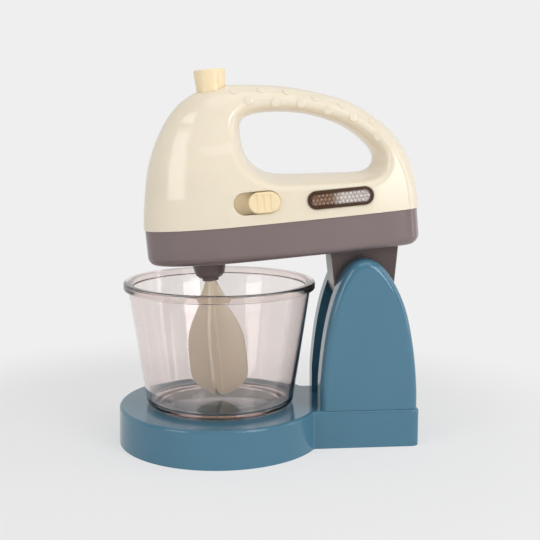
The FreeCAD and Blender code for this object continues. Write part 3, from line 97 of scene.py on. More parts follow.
# How much the clear plastic's body takes from the light in each metre, where its tint is black
TINT_DENSITY = 66.0

ABS_IOR = 1.53
STYRENE_IOR = 1.59
# The lens has a bright reflector close behind it, so it sends back more than clear styrene alone
LENS_IOR = 1.9
SOFT_LIGHT_DEPTH = 2 * MM

# A colour Mix node's sockets share their names with its number and vector ones
MIX_A, MIX_B, MIX_RESULT = 6, 7, 2


def new_material(name):
    material = bpy.data.materials.new(name)
    material.use_nodes = True
    material.node_tree.nodes.clear()
    return material


# Sizes of the marks in the materials, in millimetres
FLOW_MARK = 38.0
GRAIN_DEPTH = 0.004
DRAW_LINE = 0.4
GLOSS_PATCH = 9.0
PLATING_CLOUD = 6.0
CLEAR_WAVE = 14.0
CLEAR_DUST = 3.0
LENS_SPECKLE = 1.2
PAPER_FIBRE = 2.0
# How far flow marks take the colour towards its shade
FLOW_DRIFT = 0.5


def moulded(name, colour, shade, roughness, grain_mm=0.9, ior=ABS_IOR, subsurface=0.0):
    """Injection-moulded plastic: flow marks drift the colour from colour to shade, and the
    mould's polish leaves a faint orange peel and slightly uneven gloss."""
    material = new_material(name)
    tree = material.node_tree
    where = add(tree, "ShaderNodeTexCoord").outputs["Object"]
    flow = add(tree, "ShaderNodeTexNoise", {"Vector": where, "Scale": 1 / (FLOW_MARK * MM),
                                            "Detail": 2.0, "Roughness": 0.45, "Distortion": 0.6})
    share = add(tree, "ShaderNodeMapRange", {"Value": flow.outputs["Fac"], "From Min": 0.3,
                                             "From Max": 0.75, "To Min": 0.0, "To Max": FLOW_DRIFT})
    tint = add(tree, "ShaderNodeMix", {"Factor": share.outputs["Result"]}, data_type="RGBA")
    tint.inputs[MIX_A].default_value = linear(colour)
    tint.inputs[MIX_B].default_value = linear(shade)
    haze = add(tree, "ShaderNodeTexNoise", {"Vector": where, "Scale": 1 / (GLOSS_PATCH * MM),
                                            "Detail": 3.0})
    gloss = add(tree, "ShaderNodeMapRange", {"Value": haze.outputs["Fac"], "From Min": 0.25,
                                             "From Max": 0.75, "To Min": roughness * 0.85,
                                             "To Max": roughness * 1.2})
    peel = add(tree, "ShaderNodeTexNoise", {"Vector": where, "Scale": 1 / (grain_mm * MM),
                                            "Detail": 1.0})
    bump = add(tree, "ShaderNodeBump", {"Strength": 0.6, "Distance": GRAIN_DEPTH * MM,
                                        "Height": peel.outputs["Fac"]})
    shader = add(tree, "ShaderNodeBsdfPrincipled", {
        "Base Color": tint.outputs[MIX_RESULT],
        "Roughness": gloss.outputs["Result"],
        "IOR": ior,
        "Normal": bump.outputs["Normal"],
        "Subsurface Weight": subsurface,
        "Subsurface Scale": SOFT_LIGHT_DEPTH,
    })
    add(tree, "ShaderNodeOutputMaterial", {"Surface": shader.outputs["BSDF"]})
    return material


def metal(name, colour, roughness):
    """Plated or drawn steel and turned brass: fine draw lines and cloudy plating."""
    material = new_material(name)
    tree = material.node_tree
    where = add(tree, "ShaderNodeTexCoord").outputs["Object"]
    lines = add(tree, "ShaderNodeTexNoise", {"Vector": where, "Scale": 1 / (DRAW_LINE * MM),
                                             "Detail": 2.0})
    gloss = add(tree, "ShaderNodeMapRange", {"Value": lines.outputs["Fac"],
                                             "To Min": roughness * 0.7,
                                             "To Max": roughness * 1.3})
    cloud = add(tree, "ShaderNodeTexNoise", {"Vector": where, "Scale": 1 / (PLATING_CLOUD * MM),
                                             "Detail": 2.0})
    tint = add(tree, "ShaderNodeMix", {"Factor": cloud.outputs["Fac"]}, data_type="RGBA")
    tint.inputs[MIX_A].default_value = linear(colour)
    tint.inputs[MIX_B].default_value = tuple(0.85 * v for v in linear(colour)[:3]) + (1.0,)
    shader = add(tree, "ShaderNodeBsdfPrincipled", {
        "Base Color": tint.outputs[MIX_RESULT],
        "Metallic": 1.0,
        "Roughness": gloss.outputs["Result"],
    })
    add(tree, "ShaderNodeOutputMaterial", {"Surface": shader.outputs["BSDF"]})
    return material


def clear_plastic(name, colour, roughness, ior, body_tint):
    """Clear styrene: the tint is in the plastic itself, so the rim and the edges look darker
    than the thin wall, and faint waves show the mould's flow."""
    material = new_material(name)
    tree = material.node_tree
    where = add(tree, "ShaderNodeTexCoord").outputs["Object"]
    waves = add(tree, "ShaderNodeTexNoise", {"Vector": where, "Scale": 1 / (CLEAR_WAVE * MM),
                                             "Detail": 1.0})
    bump = add(tree, "ShaderNodeBump", {"Strength": 0.25, "Distance": 0.03 * MM,
                                        "Height": waves.outputs["Fac"]})
    dust = add(tree, "ShaderNodeTexNoise", {"Vector": where, "Scale": 1 / (CLEAR_DUST * MM),
                                            "Detail": 4.0})
    gloss = add(tree, "ShaderNodeMapRange", {"Value": dust.outputs["Fac"],
                                             "To Min": roughness * 0.6, "To Max": roughness * 1.6})
    tint = add(tree, "ShaderNodeMix", {"Factor": waves.outputs["Fac"]}, data_type="RGBA")
    tint.inputs[MIX_A].default_value = linear(colour)
    tint.inputs[MIX_B].default_value = tuple(0.97 * v for v in linear(colour)[:3]) + (1.0,)
    shader = add(tree, "ShaderNodeBsdfPrincipled", {
        "Base Color": tint.outputs[MIX_RESULT],
        "Roughness": gloss.outputs["Result"],
        "IOR": ior,
        "Transmission Weight": 1.0,
        "Normal": bump.outputs["Normal"],
    })
    depth = add(tree, "ShaderNodeVolumeAbsorption", {"Color": linear(body_tint),
                                                     "Density": TINT_DENSITY})
    add(tree, "ShaderNodeOutputMaterial", {"Surface": shader.outputs["BSDF"],
                                           "Volume": depth.outputs["Volume"]})
    return material


# How far the speckle moves the lens's change of colour
SMOKE_SPREAD = 6.0


def beaded_lens(name, colour, smoked_colour, smoked_from, smoked_to):
    """Clear styrene lens of small beads over a pale reflector: milky and sparkling, and
    smoked brown towards its front end, where the speckle makes the change uneven."""
    material = new_material(name)
    tree = material.node_tree
    where = add(tree, "ShaderNodeTexCoord").outputs["Object"]
    split = add(tree, "ShaderNodeSeparateXYZ", {"Vector": where})
    speckle = add(tree, "ShaderNodeTexNoise", {"Vector": where, "Scale": 1 / (LENS_SPECKLE * MM),
                                               "Detail": 2.0})
    shift = add(tree, "ShaderNodeMath", {0: speckle.outputs["Fac"], 1: SMOKE_SPREAD * MM,
                                         2: split.outputs["X"]}, operation="MULTIPLY_ADD")
    middle = SMOKE_SPREAD / 2
    share = add(tree, "ShaderNodeMapRange", {"Value": shift.outputs["Value"],
                                             "From Min": (smoked_from + middle) * MM,
                                             "From Max": (smoked_to + middle) * MM})
    tint = add(tree, "ShaderNodeMix", {"Factor": share.outputs["Result"]}, data_type="RGBA")
    tint.inputs[MIX_A].default_value = linear(smoked_colour)
    tint.inputs[MIX_B].default_value = linear(colour)
    gloss = add(tree, "ShaderNodeMapRange", {"Value": speckle.outputs["Fac"], "To Min": 0.03,
                                             "To Max": 0.12})
    shader = add(tree, "ShaderNodeBsdfPrincipled", {
        "Base Color": tint.outputs[MIX_RESULT],
        "Roughness": gloss.outputs["Result"],
        "IOR": LENS_IOR,
        "Transmission Weight": 0.2,
    })
    add(tree, "ShaderNodeOutputMaterial", {"Surface": shader.outputs["BSDF"]})
    return material


FINISH = {
    # Glossy ABS, polished mould: soft reflections over an even cream
    "cream_plastic": moulded("glossy_cream_abs", "F2E6D0", "EFE1C8", 0.12, subsurface=0.05),
    # The same ABS in pale yellow, for what is pressed or pushed
    "yellow_plastic": moulded("glossy_pale_yellow_abs", "FBE6BE", "F7DDAE", 0.2),
    # Glossy blue-grey ABS of the stand
    "blue_plastic": moulded("glossy_blue_abs", "4B7B92", "46748A", 0.11),
    # Satin taupe ABS of the mixer's underside and the bracket
    "taupe_plastic": moulded("satin_taupe_abs", "80706F", "796968", 0.22),
    # Satin acetal of the spindle and its collar, a little darker than the tray: painted shade for
    # the shadow they stand in under the tray
    "dark_taupe_plastic": moulded("satin_taupe_acetal_painted_shade", "6A5A59", "635453", 0.3),
    # Beige nylon, slightly waxy
    "beige_plastic": moulded("waxy_beige_nylon", "F0E4CE", "E9DBC4", 0.34, subsurface=0.1),
    # The bracket is the tray's taupe plastic made darker: painted shade for the shadow under the
    # tray and between the uprights
    "painted_shade_taupe_plastic": moulded("satin_taupe_abs_painted_shade", "594946", "524340", 0.26),
    # Brown ABS round the light, with little reflection
    "brown_plastic": moulded("satin_brown_abs", "482E1C", "3E2716", 0.3, ior=1.38),
    # Off-white acetal of the gears and their plate
    "nylon": moulded("natural_acetal", "E6E1D3", "DFD9C9", 0.4),
    # Matt black of the slide switch's housing
    "black_plastic": moulded("matt_black_abs", "222222", "1C1C1C", 0.5),
    # Solder mask over glass fibre
    "circuit_board": moulded("green_solder_mask", "2F5D3A", "2A5334", 0.35, grain_mm=0.5),
    # Plain film round each cell
    "cell_jacket": moulded("plain_grey_cell_jacket", "3A3F45", "34393F", 0.3),
    # Bright zinc of screws, pin, axle, spring and contacts
    "steel": metal("zinc_plated_steel", "C4C4C2", 0.3),
    # Duller drawn can of the motor
    "motor_steel": metal("drawn_motor_steel", "A6A6A4", 0.36),
    # Turned pinion
    "brass": metal("turned_brass", "C9A24B", 0.28),
    # Clear styrene with a smoky pink tint, moulded in a polished tool
    "clear_smoky_plastic": clear_plastic("smoky_clear_styrene", "FDFBFA", 0.03, STYRENE_IOR,
                                         "C6917C"),
    # Beaded lens of the light
    "clear_lens_plastic": beaded_lens("faceted_clear_styrene", "E4D9D2", "967053", 54.5, 59.0),
}


# Shape helpers

def dropped(point):
    """Takes a point of the mixer, in level millimetres, to its place in metres."""
    offset = Vector(point) * MM - HINGE
    return HINGE + Matrix.Rotation(-HEAD_DROOP, 3, "Y") @ offset


def finish_piece(obj, node, material=None):
    """Gives a piece its body, finish and place in the table."""
    obj.data.materials.clear()
    obj.data.materials.append(material or FINISH[SLOT_OF[node]])
    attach(obj, BODY_OF[node])
    return obj


def mesh_object(name, mesh):
    obj = bpy.data.objects.new(name, mesh)
    bpy.context.scene.collection.objects.link(obj)
    return obj


def bake(obj):
    """Turns an object with modifiers into a plain mesh."""
    depsgraph = bpy.context.evaluated_depsgraph_get()
    mesh = bpy.data.meshes.new_from_object(obj.evaluated_get(depsgraph))
    obj.modifiers.clear()
    obj.data = mesh
    return obj


SLIVER_WIDTH = 0.02 * MM


def is_sliver(face):
    """A face too thin for its normal to mean anything."""
    longest = max(edge.calc_length() for edge in face.edges)
    return longest == 0.0 or 2 * face.calc_area() / longest < SLIVER_WIDTH


def smooth_by_angle(mesh, degrees):
    """Smooth shading with sharp edges where faces turn by more than degrees."""
    work = bmesh.new()
    work.from_mesh(mesh)
    limit = math.radians(degrees)
    slivers = set()
    for face in work.faces:
        face.smooth = True
        if is_sliver(face):
            slivers.add(face.index)
    for edge in work.edges:
        sides = edge.link_faces
        if len(sides) != 2:
            edge.smooth = False
        elif sides[0].index in slivers or sides[1].index in slivers:
            edge.smooth = True
        else:
            edge.smooth = edge.calc_face_angle(0.0) < limit
    work.to_mesh(mesh)
    work.free()


JOIN_WITHIN = 0.002 * MM
SKIN_CREASE_DEG = 28.0


def merged_copy(node):
    """A copy of a CAD node's mesh with its loose triangles joined and shaded smooth."""
    source = frame["nodes"][node]
    mesh = source.data.copy()
    work = bmesh.new()
    work.from_mesh(mesh)
    bmesh.ops.remove_doubles(work, verts=work.verts, dist=JOIN_WITHIN)
    bmesh.ops.dissolve_degenerate(work, edges=work.edges, dist=JOIN_WITHIN / 2)
    work.to_mesh(mesh)
    work.free()
    smooth_by_angle(mesh, SKIN_CREASE_DEG)
    obj = mesh_object(node + "_skin", mesh)
    weighted = obj.modifiers.new("weighted_normals", "WEIGHTED_NORMAL")
    weighted.keep_sharp = True
    weighted.mode = "FACE_AREA"
    weighted.weight = 60
    return bake(obj)


# Casing form, by the same rules as the solids

SEAM_Z = 119.6
NOSE_X = -35.7
NOSE_LENGTH = 50.0
HALF_WIDTH = 26.5
REAR_NARROWING = 5.5
REAR_NARROWING_POWER = 2.5
REAR_X = 105.5
REAR_FLAT = 7.0
EDGE_ROUNDING = 9.0
TOP_ROUNDING = 12.0
HANDLE_ROUNDING = 7.0
OPENING_FALL = 4.4
OPENING_RIM = 3.2
BUTTON_SWELL = 3.0
BUTTON_SWELL_X = 2.0
BUTTON_SWELL_LENGTH = 14.0
BUTTON_SWELL_LOW_Z = 160.0
BUTTON_SWELL_RISE = 20.0
CROWN_Z = 188.0
# Where the nose's long rounding gives way to the plain edge rounding
NOSE_BLEND_START_X = 2.0
NOSE_BLEND_END_X = 24.0
# How much the opening's edge must face up before it is the handle and no longer the floor
FLOOR_FACING = -0.1
HANDLE_FACING = 0.6
OUTLINE = [
    (-35.9, 112.0), (-35.7, 121.0), (-34.0, 134.0), (-30.4, 151.0), (-22.6, 168.2),
    (-9.0, 183.2), (8.0, 188.4), (27.0, 187.6), (43.0, 185.3), (59.0, 180.9),
    (74.0, 175.2), (87.0, 166.3), (97.0, 155.3), (103.3, 141.5), (105.6, 124.0),
    (105.6, 112.0),
]
OPENING = [
    (55.6, 140.5), (42.7, 141.3), (35.5, 142.0), (29.6, 143.4), (24.6, 146.3),
    (20.9, 150.3), (18.8, 155.4), (17.8, 160.8), (17.7, 165.7), (19.2, 170.6),
    (24.9, 173.0), (32.6, 173.4), (40.5, 172.8), (49.0, 171.4), (57.8, 168.8),
    (66.0, 165.3), (73.5, 160.5), (80.1, 154.5), (83.9, 149.2), (84.4, 144.6),
    (81.6, 140.7), (76.0, 139.4), (66.0, 139.8),
]
GIRTH_HEIGHTS = [100.0, 119.6, 135.0, 145.0, 155.0, 165.0, 172.0, 180.0, 192.0]
GIRTH_SHARES = [1.0, 1.0, 0.97, 0.90, 0.78, 0.61, 0.49, 0.41, 0.38]
SLOT = (21.3, 130.4, 22.8, 11.0)
WINDOW = (62.9, 128.9, 33.0, 8.8)
SMALL_EDGE = 0.5
CASING_WALL = 1.9


def spline_through(points, closed, step):
    """Smooth curve through points, returned as a row of points about step apart."""
    knots = np.array(points, float)
    if closed:
        knots = np.vstack([knots[-3:], knots, knots[:4]])
    chord = np.concatenate([[0.0], np.cumsum(np.linalg.norm(np.diff(knots, axis=0), axis=1))])
    count = len(knots)
    gaps = np.diff(chord)
    matrix = np.zeros((count, count))
    right = np.zeros((count, 2))
    matrix[0, 0] = matrix[-1, -1] = 1.0
    for k in range(1, count - 1):
        matrix[k, k - 1] = gaps[k - 1]
        matrix[k, k] = 2 * (gaps[k - 1] + gaps[k])
        matrix[k, k + 1] = gaps[k]
        rise = (knots[k + 1] - knots[k]) / gaps[k] - (knots[k] - knots[k - 1]) / gaps[k - 1]
        right[k] = 6 * rise
    bend = np.linalg.solve(matrix, right)
    first, last = (3, count - 4) if closed else (0, count - 1)
    samples = max(8, int(round((chord[last] - chord[first]) / step)))
    at = np.linspace(chord[first], chord[last], samples + 1)
    span = np.clip(np.searchsorted(chord, at, side="right") - 1, 0, count - 2)
    a = ((chord[span + 1] - at) / gaps[span])[:, None]
    b = 1 - a
    scale = (gaps[span] ** 2 / 6)[:, None]
    curve = a * knots[span] + b * knots[span + 1]
    curve += ((a ** 3 - a) * bend[span] + (b ** 3 - b) * bend[span + 1]) * scale
    return curve[:-1] if closed else curve


def ramp(value, low, high):
    """Smooth step from 0 at low to 1 at high."""
    share = np.clip((value - low) / (high - low), 0, 1)
    return share * share * (3 - 2 * share)


def wall_half_width(x, z):
    """How far the side wall stands from the mid-plane, before its edges are rounded."""
    start = NOSE_X + NOSE_LENGTH
    share = np.clip((x - start) / (REAR_X - REAR_FLAT - start), 0, 1)
    plan = HALF_WIDTH - REAR_NARROWING * share ** REAR_NARROWING_POWER
    girth = np.interp(z, GIRTH_HEIGHTS, GIRTH_SHARES)
    swell = BUTTON_SWELL * np.exp(-((x - BUTTON_SWELL_X) / BUTTON_SWELL_LENGTH) ** 2)
    return plan * girth + swell * np.clip((z - BUTTON_SWELL_LOW_Z) / BUTTON_SWELL_RISE, 0, 1)


# Points measured at a time, which keeps the arrays small
MEASURED_AT_ONCE = 1500


def distance_to(points, line, closed):
    """Distance from each point to a row of points joined by straight runs, and the run's index."""
    ends = np.roll(line, -1, axis=0) if closed else line[1:]
    starts = line if closed else line[:-1]
    run = ends - starts
    length = (run ** 2).sum(1)
    best = np.empty(len(points))
    index = np.empty(len(points), int)
    for first in range(0, len(points), MEASURED_AT_ONCE):
        some = points[first:first + MEASURED_AT_ONCE]
        offset = some[:, None, :] - starts[None]
        share = np.clip((offset * run[None]).sum(2) / length[None], 0, 1)
        gap = np.linalg.norm(offset - share[:, :, None] * run[None], axis=2)
        nearest = gap.argmin(1)
        index[first:first + MEASURED_AT_ONCE] = nearest
        best[first:first + MEASURED_AT_ONCE] = gap[np.arange(len(some)), nearest]
    return best, index


def inside(points, line):
    """True for points inside a closed row of points."""
    x, z = points[:, 0][:, None], points[:, 1][:, None]
    x0, z0 = line[:, 0][None], line[:, 1][None]
    x1, z1 = np.roll(line[:, 0], -1)[None], np.roll(line[:, 1], -1)[None]
    spans = (z0 > z) != (z1 > z)
    rise = np.where(z1 == z0, 1e-9, z1 - z0)
    crossing = x0 + (z - z0) * (x1 - x0) / rise
    return (spans & (x < crossing)).sum(1) % 2 == 1


def stadium_loop(centre_x, centre_z, length, height, step):
    """Outline of a slot with round ends, as points about step apart."""
    reach = length / 2 - height / 2
    radius = height / 2
    turns = int(math.pi * radius / step)
    runs = int(2 * reach / step)
    loop = []
    for k in range(turns):
        angle = -math.pi / 2 + math.pi * k / turns
        loop.append((centre_x + reach + radius * math.cos(angle),
                     centre_z + radius * math.sin(angle)))
    for k in range(runs):
        loop.append((centre_x + reach - 2 * reach * k / runs, centre_z + radius))
    for k in range(turns):
        angle = math.pi / 2 + math.pi * k / turns
        loop.append((centre_x - reach + radius * math.cos(angle),
                     centre_z + radius * math.sin(angle)))
    for k in range(runs):
        loop.append((centre_x - reach + 2 * reach * k / runs, centre_z - radius))
    return np.array(loop)


# Spacing of the points along the casing's edges, and how many near each end may cross the seam
EDGE_STEP = 0.9
END_POINTS = 20
outline_run = spline_through(OUTLINE, False, EDGE_STEP)
above = outline_run[:, 1] > SEAM_Z + EDGE_STEP / 3
nose_end = outline_run[:END_POINTS]
rear_end = outline_run[::-1][:END_POINTS]
arch_start = (np.interp(SEAM_Z, nose_end[:, 1], nose_end[:, 0]), SEAM_Z)
arch_end = (np.interp(SEAM_Z, rear_end[:, 1], rear_end[:, 0]), SEAM_Z)
outline_arch = np.vstack([arch_start, outline_run[above], arch_end])
opening_loop = spline_through(OPENING, True, EDGE_STEP)


def outward(line, closed):
    """Unit normals of a row of points, to the left of its direction."""
    if closed:
        along = np.roll(line, -1, axis=0) - np.roll(line, 1, axis=0)
    else:
        along = np.gradient(line, axis=0)
    along /= np.linalg.norm(along, axis=1)[:, None]
    return np.stack([-along[:, 1], along[:, 0]], 1)


opening_out = outward(opening_loop, True)
outline_out = outward(outline_arch, False)


def opening_flare(share, wall, upward):
    """How far the hand opening has widened at a share of the wall's half width."""
    handle = HANDLE_ROUNDING * (1 - np.sqrt(1 - share ** 2))
    rim = np.clip(1 - (1 - share) * wall / OPENING_RIM, 0, 1)
    floor = OPENING_FALL * share ** 1.5 + OPENING_RIM * (1 - np.sqrt(1 - rim ** 2))
    return floor + (handle - floor) * upward


def opening_share(gap, wall, upward):
    """Share of the half width at which the opening has widened by gap."""
    low = np.zeros(len(gap))
    high = np.ones(len(gap))
    for _ in range(26):
        middle = (low + high) / 2
        short = opening_flare(middle, wall, upward) < gap
        low = np.where(short, middle, low)
        high = np.where(short, high, middle)
    return high


def casing_depth(points, holes):
    """How far the casing's side stands from the mid-plane at each (x, z)."""
    x, z = points[:, 0], points[:, 1]
    wall = wall_half_width(x, z)
    edge, _ = distance_to(points, outline_run, False)
    nose = NOSE_LENGTH - (NOSE_LENGTH - TOP_ROUNDING) * ramp(z, SEAM_Z, CROWN_Z)
    rounding = nose + (EDGE_ROUNDING - nose) * ramp(x, NOSE_BLEND_START_X, NOSE_BLEND_END_X)
    outer = 1 - np.clip(edge / rounding, 0, 1)
    gap, index = distance_to(points, opening_loop, True)
    inner = opening_share(gap, wall, ramp(opening_out[index, 1], FLOOR_FACING, HANDLE_FACING))
    depth = wall * np.sqrt(np.clip(inner ** 2 - outer ** 2, 0, 1))
    for loop in holes:
        near, _ = distance_to(points, loop, True)
        turn = 1 - np.clip(near / SMALL_EDGE, 0, 1)
        depth -= SMALL_EDGE * (1 - np.sqrt(1 - turn ** 2))
    return depth


# Rows of mesh points run along every edge at these distances, closest where it turns most
RING_STEPS = [0.06, 0.2, 0.4, 0.7, 1.1, 1.6, 2.1, 2.7, 3.2, 3.6, 4.0, 4.5, 5.1, 5.8, 6.5, 7.2, 7.9,
              8.8]
SMALL_RINGS = [0.07, 0.16, 0.3, 0.5, 0.9]
SLOT_STEP = 0.45
WINDOW_STEP = 0.5
SEAM_POINTS = 141
# Elsewhere the mesh points stand in staggered rows
GRID_STEP = 1.25
GRID_ROW_SHARE = 0.87
GRID_LEFT, GRID_RIGHT, GRID_TOP = -37.0, 107.0, 190.0


def casing_mesh(name, side):
    """One half of the casing as a fine mesh over its side view."""
    holes = []
    if side < 0:
        holes = [stadium_loop(*SLOT, SLOT_STEP), stadium_loop(*WINDOW, WINDOW_STEP)]
    seam_x = np.linspace(arch_end[0], arch_start[0], SEAM_POINTS)[1:-1]
    boundary = np.vstack([outline_arch, np.stack([seam_x, np.full(len(seam_x), SEAM_Z)], 1)])
    loops = [boundary, opening_loop] + holes
    extra = []
    for step in RING_STEPS:
        extra.append(outline_arch[1:-1] - outline_out[1:-1] * step)
        extra.append(opening_loop + opening_out * step)
    rows = []
    for row, z in enumerate(np.arange(SEAM_Z + 1.0, GRID_TOP, GRID_STEP * GRID_ROW_SHARE)):
        xs = np.arange(GRID_LEFT, GRID_RIGHT, GRID_STEP) + (row % 2) * GRID_STEP / 2
        rows.append(np.stack([xs, np.full(len(xs), z)], 1))
    ring_points = np.vstack(extra)
    ring_depth = np.repeat(RING_STEPS, len(outline_arch) - 2 + len(opening_loop))
    grid = np.vstack(rows)
    last = RING_STEPS[-1] + 0.5
    grid_clear = np.full(len(grid), last)
    inner = np.vstack([ring_points, grid])
    wanted = np.concatenate([ring_depth * 0.98, grid_clear])
    edge, _ = distance_to(inner, outline_arch, False)
    gap, _ = distance_to(inner, opening_loop, True)
    keep = (edge >= wanted) & (gap >= wanted) & (inner[:, 1] > SEAM_Z + 0.7)
    keep &= inside(inner, boundary) & ~inside(inner, opening_loop)
    for loop in holes:
        near, _ = distance_to(inner, loop, True)
        keep &= (near > SMALL_RINGS[-1] + 0.4) & ~inside(inner, loop)
    inner = inner[keep]
    for loop in holes:
        normal = outward(loop, True)
        centre = loop.mean(0)
        flip = np.sign((normal * (loop - centre)).sum(1))[:, None]
        for step in SMALL_RINGS:
            inner = np.vstack([inner, loop + normal * flip * step])
    points = np.vstack(loops + [inner])
    edges = []
    start = 0
    for loop in loops:
        count = len(loop)
        edges += [(start + k, start + (k + 1) % count) for k in range(count)]
        start += count
    made = delaunay_2d_cdt([Vector(p) for p in points], edges, [], 0, 1e-5)
    flat = np.array([tuple(v) for v in made[0]])
    faces = np.array([tuple(f) for f in made[2]])
    middle = flat[faces].mean(1)
    keep = inside(middle, boundary) & ~inside(middle, opening_loop)
    for loop in holes:
        keep &= ~inside(middle, loop)
    faces = faces[keep]
    depth = casing_depth(flat, holes)
    corners = []
    for (x, z), y in zip(flat, depth):
        corners.append(dropped((x, side * y, z)))
    order = [tuple(int(k) for k in (f if side < 0 else f[::-1])) for f in faces]
    mesh = bpy.data.meshes.new(name)
    mesh.from_pydata(corners, [], order)
    work = bmesh.new()
    work.from_mesh(mesh)
    loose = [v for v in work.verts if not v.link_faces]
    bmesh.ops.delete(work, geom=loose, context="VERTS")
    work.to_mesh(mesh)
    work.free()
    return mesh


BUTTON_X = 5.1
BUTTON_HOLE_RADIUS = 7.85
BUTTON_HOLE_SIDES = 96
BUTTON_CUTTER_LENGTH = 40.0
CASING_CREASE_DEG = 35.0


def make_casing(node, side):
    """One half of the casing with its wall and the button's hole, in place of its node."""
    mesh = casing_mesh(node + "_shell", side)
    obj = mesh_object(node + "_shell", mesh)
    wall = obj.modifiers.new("wall", "SOLIDIFY")
    wall.thickness = CASING_WALL * MM
    wall.offset = -1
    bake(obj)
    cutter = mesh_object("button_cutter", bpy.data.meshes.new("button_cutter"))
    work = bmesh.new()
    bmesh.ops.create_cone(work, cap_ends=True, segments=BUTTON_HOLE_SIDES,
                          radius1=BUTTON_HOLE_RADIUS * MM, radius2=BUTTON_HOLE_RADIUS * MM,
                          depth=BUTTON_CUTTER_LENGTH * MM)
    turn = Matrix.Rotation(-HEAD_DROOP, 4, "Y")
    place = Matrix.Translation(dropped((BUTTON_X, 0, CROWN_Z))) @ turn
    bmesh.ops.transform(work, matrix=place, verts=work.verts)
    work.to_mesh(cutter.data)
    work.free()
    hole = obj.modifiers.new("button_hole", "BOOLEAN")
    hole.operation = "DIFFERENCE"
    hole.object = cutter
    hole.solver = "EXACT"
    bake(obj)
    bpy.data.objects.remove(cutter)
    smooth_by_angle(obj.data, CASING_CREASE_DEG)
    finish_piece(obj, node)
    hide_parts(node)


make_casing("near_casing", -1)
make_casing("far_casing", 1)


# Small shapes repeated on a row of points

def group_input(tree, name):
    for item in tree.interface.items_tree:
        if item.item_type == "SOCKET" and item.in_out == "INPUT" and item.name == name:
            return item.identifier
    raise KeyError(name)


def repeat_tree(name, shape, material):
    """Puts one small shape on every point of a mesh, turned to the point's own direction."""
    tree = bpy.data.node_groups.new(name, "GeometryNodeTree")
    tree.interface.new_socket("Geometry", in_out="INPUT", socket_type="NodeSocketGeometry")
    for size in ("Width", "Height"):
        tree.interface.new_socket(size, in_out="INPUT", socket_type="NodeSocketFloat")
    tree.interface.new_socket("Geometry", in_out="OUTPUT", socket_type="NodeSocketGeometry")
    given = add(tree, "NodeGroupInput")
    made = shape(tree, given.outputs["Width"], given.outputs["Height"])
    out = add(tree, "GeometryNodeInputNamedAttribute", {"Name": "out"}, data_type="FLOAT_VECTOR")
    across = add(tree, "GeometryNodeInputNamedAttribute", {"Name": "across"},
                 data_type="FLOAT_VECTOR")
    stood = add(tree, "FunctionNodeAlignRotationToVector", {"Vector": out.outputs["Attribute"]},
                axis="Z")
    turned = add(tree, "FunctionNodeAlignRotationToVector", {
        "Rotation": stood.outputs["Rotation"], "Vector": across.outputs["Attribute"]},
        axis="X", pivot_axis="Z")
    placed = add(tree, "GeometryNodeInstanceOnPoints", {
        "Points": given.outputs["Geometry"], "Instance": made,
        "Rotation": turned.outputs["Rotation"]})
    real = add(tree, "GeometryNodeRealizeInstances", {"Geometry": placed.outputs["Instances"]})
    coated = add(tree, "GeometryNodeSetMaterial", {"Geometry": real.outputs["Geometry"],
                                                   "Material": material})
    add(tree, "NodeGroupOutput", {"Geometry": coated.outputs["Geometry"]})
    return tree


# How square a dot's shoulders are: 1 is a plain dome, and less is flatter on top
DOT_SHOULDER = 0.6


def dome_shape(tree, width, height):
    """Low round dot with full shoulders: half of it stands in the wall, so its edge is steep."""
    half = add(tree, "ShaderNodeMath", {0: width, 1: 0.5}, operation="MULTIPLY").outputs["Value"]
    ball = add(tree, "GeometryNodeMeshUVSphere", {"Segments": 32, "Rings": 20, "Radius": 1.0})
    place = add(tree, "GeometryNodeInputPosition")
    split = add(tree, "ShaderNodeSeparateXYZ", {"Vector": place.outputs["Position"]})
    level = add(tree, "ShaderNodeMath", {0: split.outputs["Z"]}, operation="ABSOLUTE")
    full = add(tree, "ShaderNodeMath", {0: level.outputs["Value"], 1: DOT_SHOULDER},
               operation="POWER")
    side = add(tree, "ShaderNodeMath", {0: split.outputs["Z"]}, operation="SIGN")
    raised = add(tree, "ShaderNodeMath", {0: full.outputs["Value"], 1: side.outputs["Value"]},
                 operation="MULTIPLY")
    moved = add(tree, "ShaderNodeCombineXYZ", {"X": split.outputs["X"], "Y": split.outputs["Y"],
                                               "Z": raised.outputs["Value"]})
    fuller = add(tree, "GeometryNodeSetPosition", {"Geometry": ball.outputs["Mesh"],
                                                   "Position": moved.outputs["Vector"]})
    size = add(tree, "ShaderNodeCombineXYZ", {"X": half, "Y": half, "Z": height})
    dome = add(tree, "GeometryNodeTransform", {"Geometry": fuller.outputs["Geometry"],
                                               "Scale": size.outputs["Vector"]})
    smooth = add(tree, "GeometryNodeSetShadeSmooth", {"Geometry": dome.outputs["Geometry"]})
    return smooth.outputs["Geometry"]


def bead_shape(tree, width, height):
    """Plain round bead, of which the outer half stands out of the lens."""
    half = add(tree, "ShaderNodeMath", {0: width, 1: 0.5}, operation="MULTIPLY").outputs["Value"]
    ball = add(tree, "GeometryNodeMeshUVSphere", {"Segments": 24, "Rings": 14, "Radius": 1.0})
    size = add(tree, "ShaderNodeCombineXYZ", {"X": half, "Y": half, "Z": height})
    bead = add(tree, "GeometryNodeTransform", {"Geometry": ball.outputs["Mesh"],
                                               "Scale": size.outputs["Vector"]})
    smooth = add(tree, "GeometryNodeSetShadeSmooth", {"Geometry": bead.outputs["Geometry"]})
    return smooth.outputs["Geometry"]


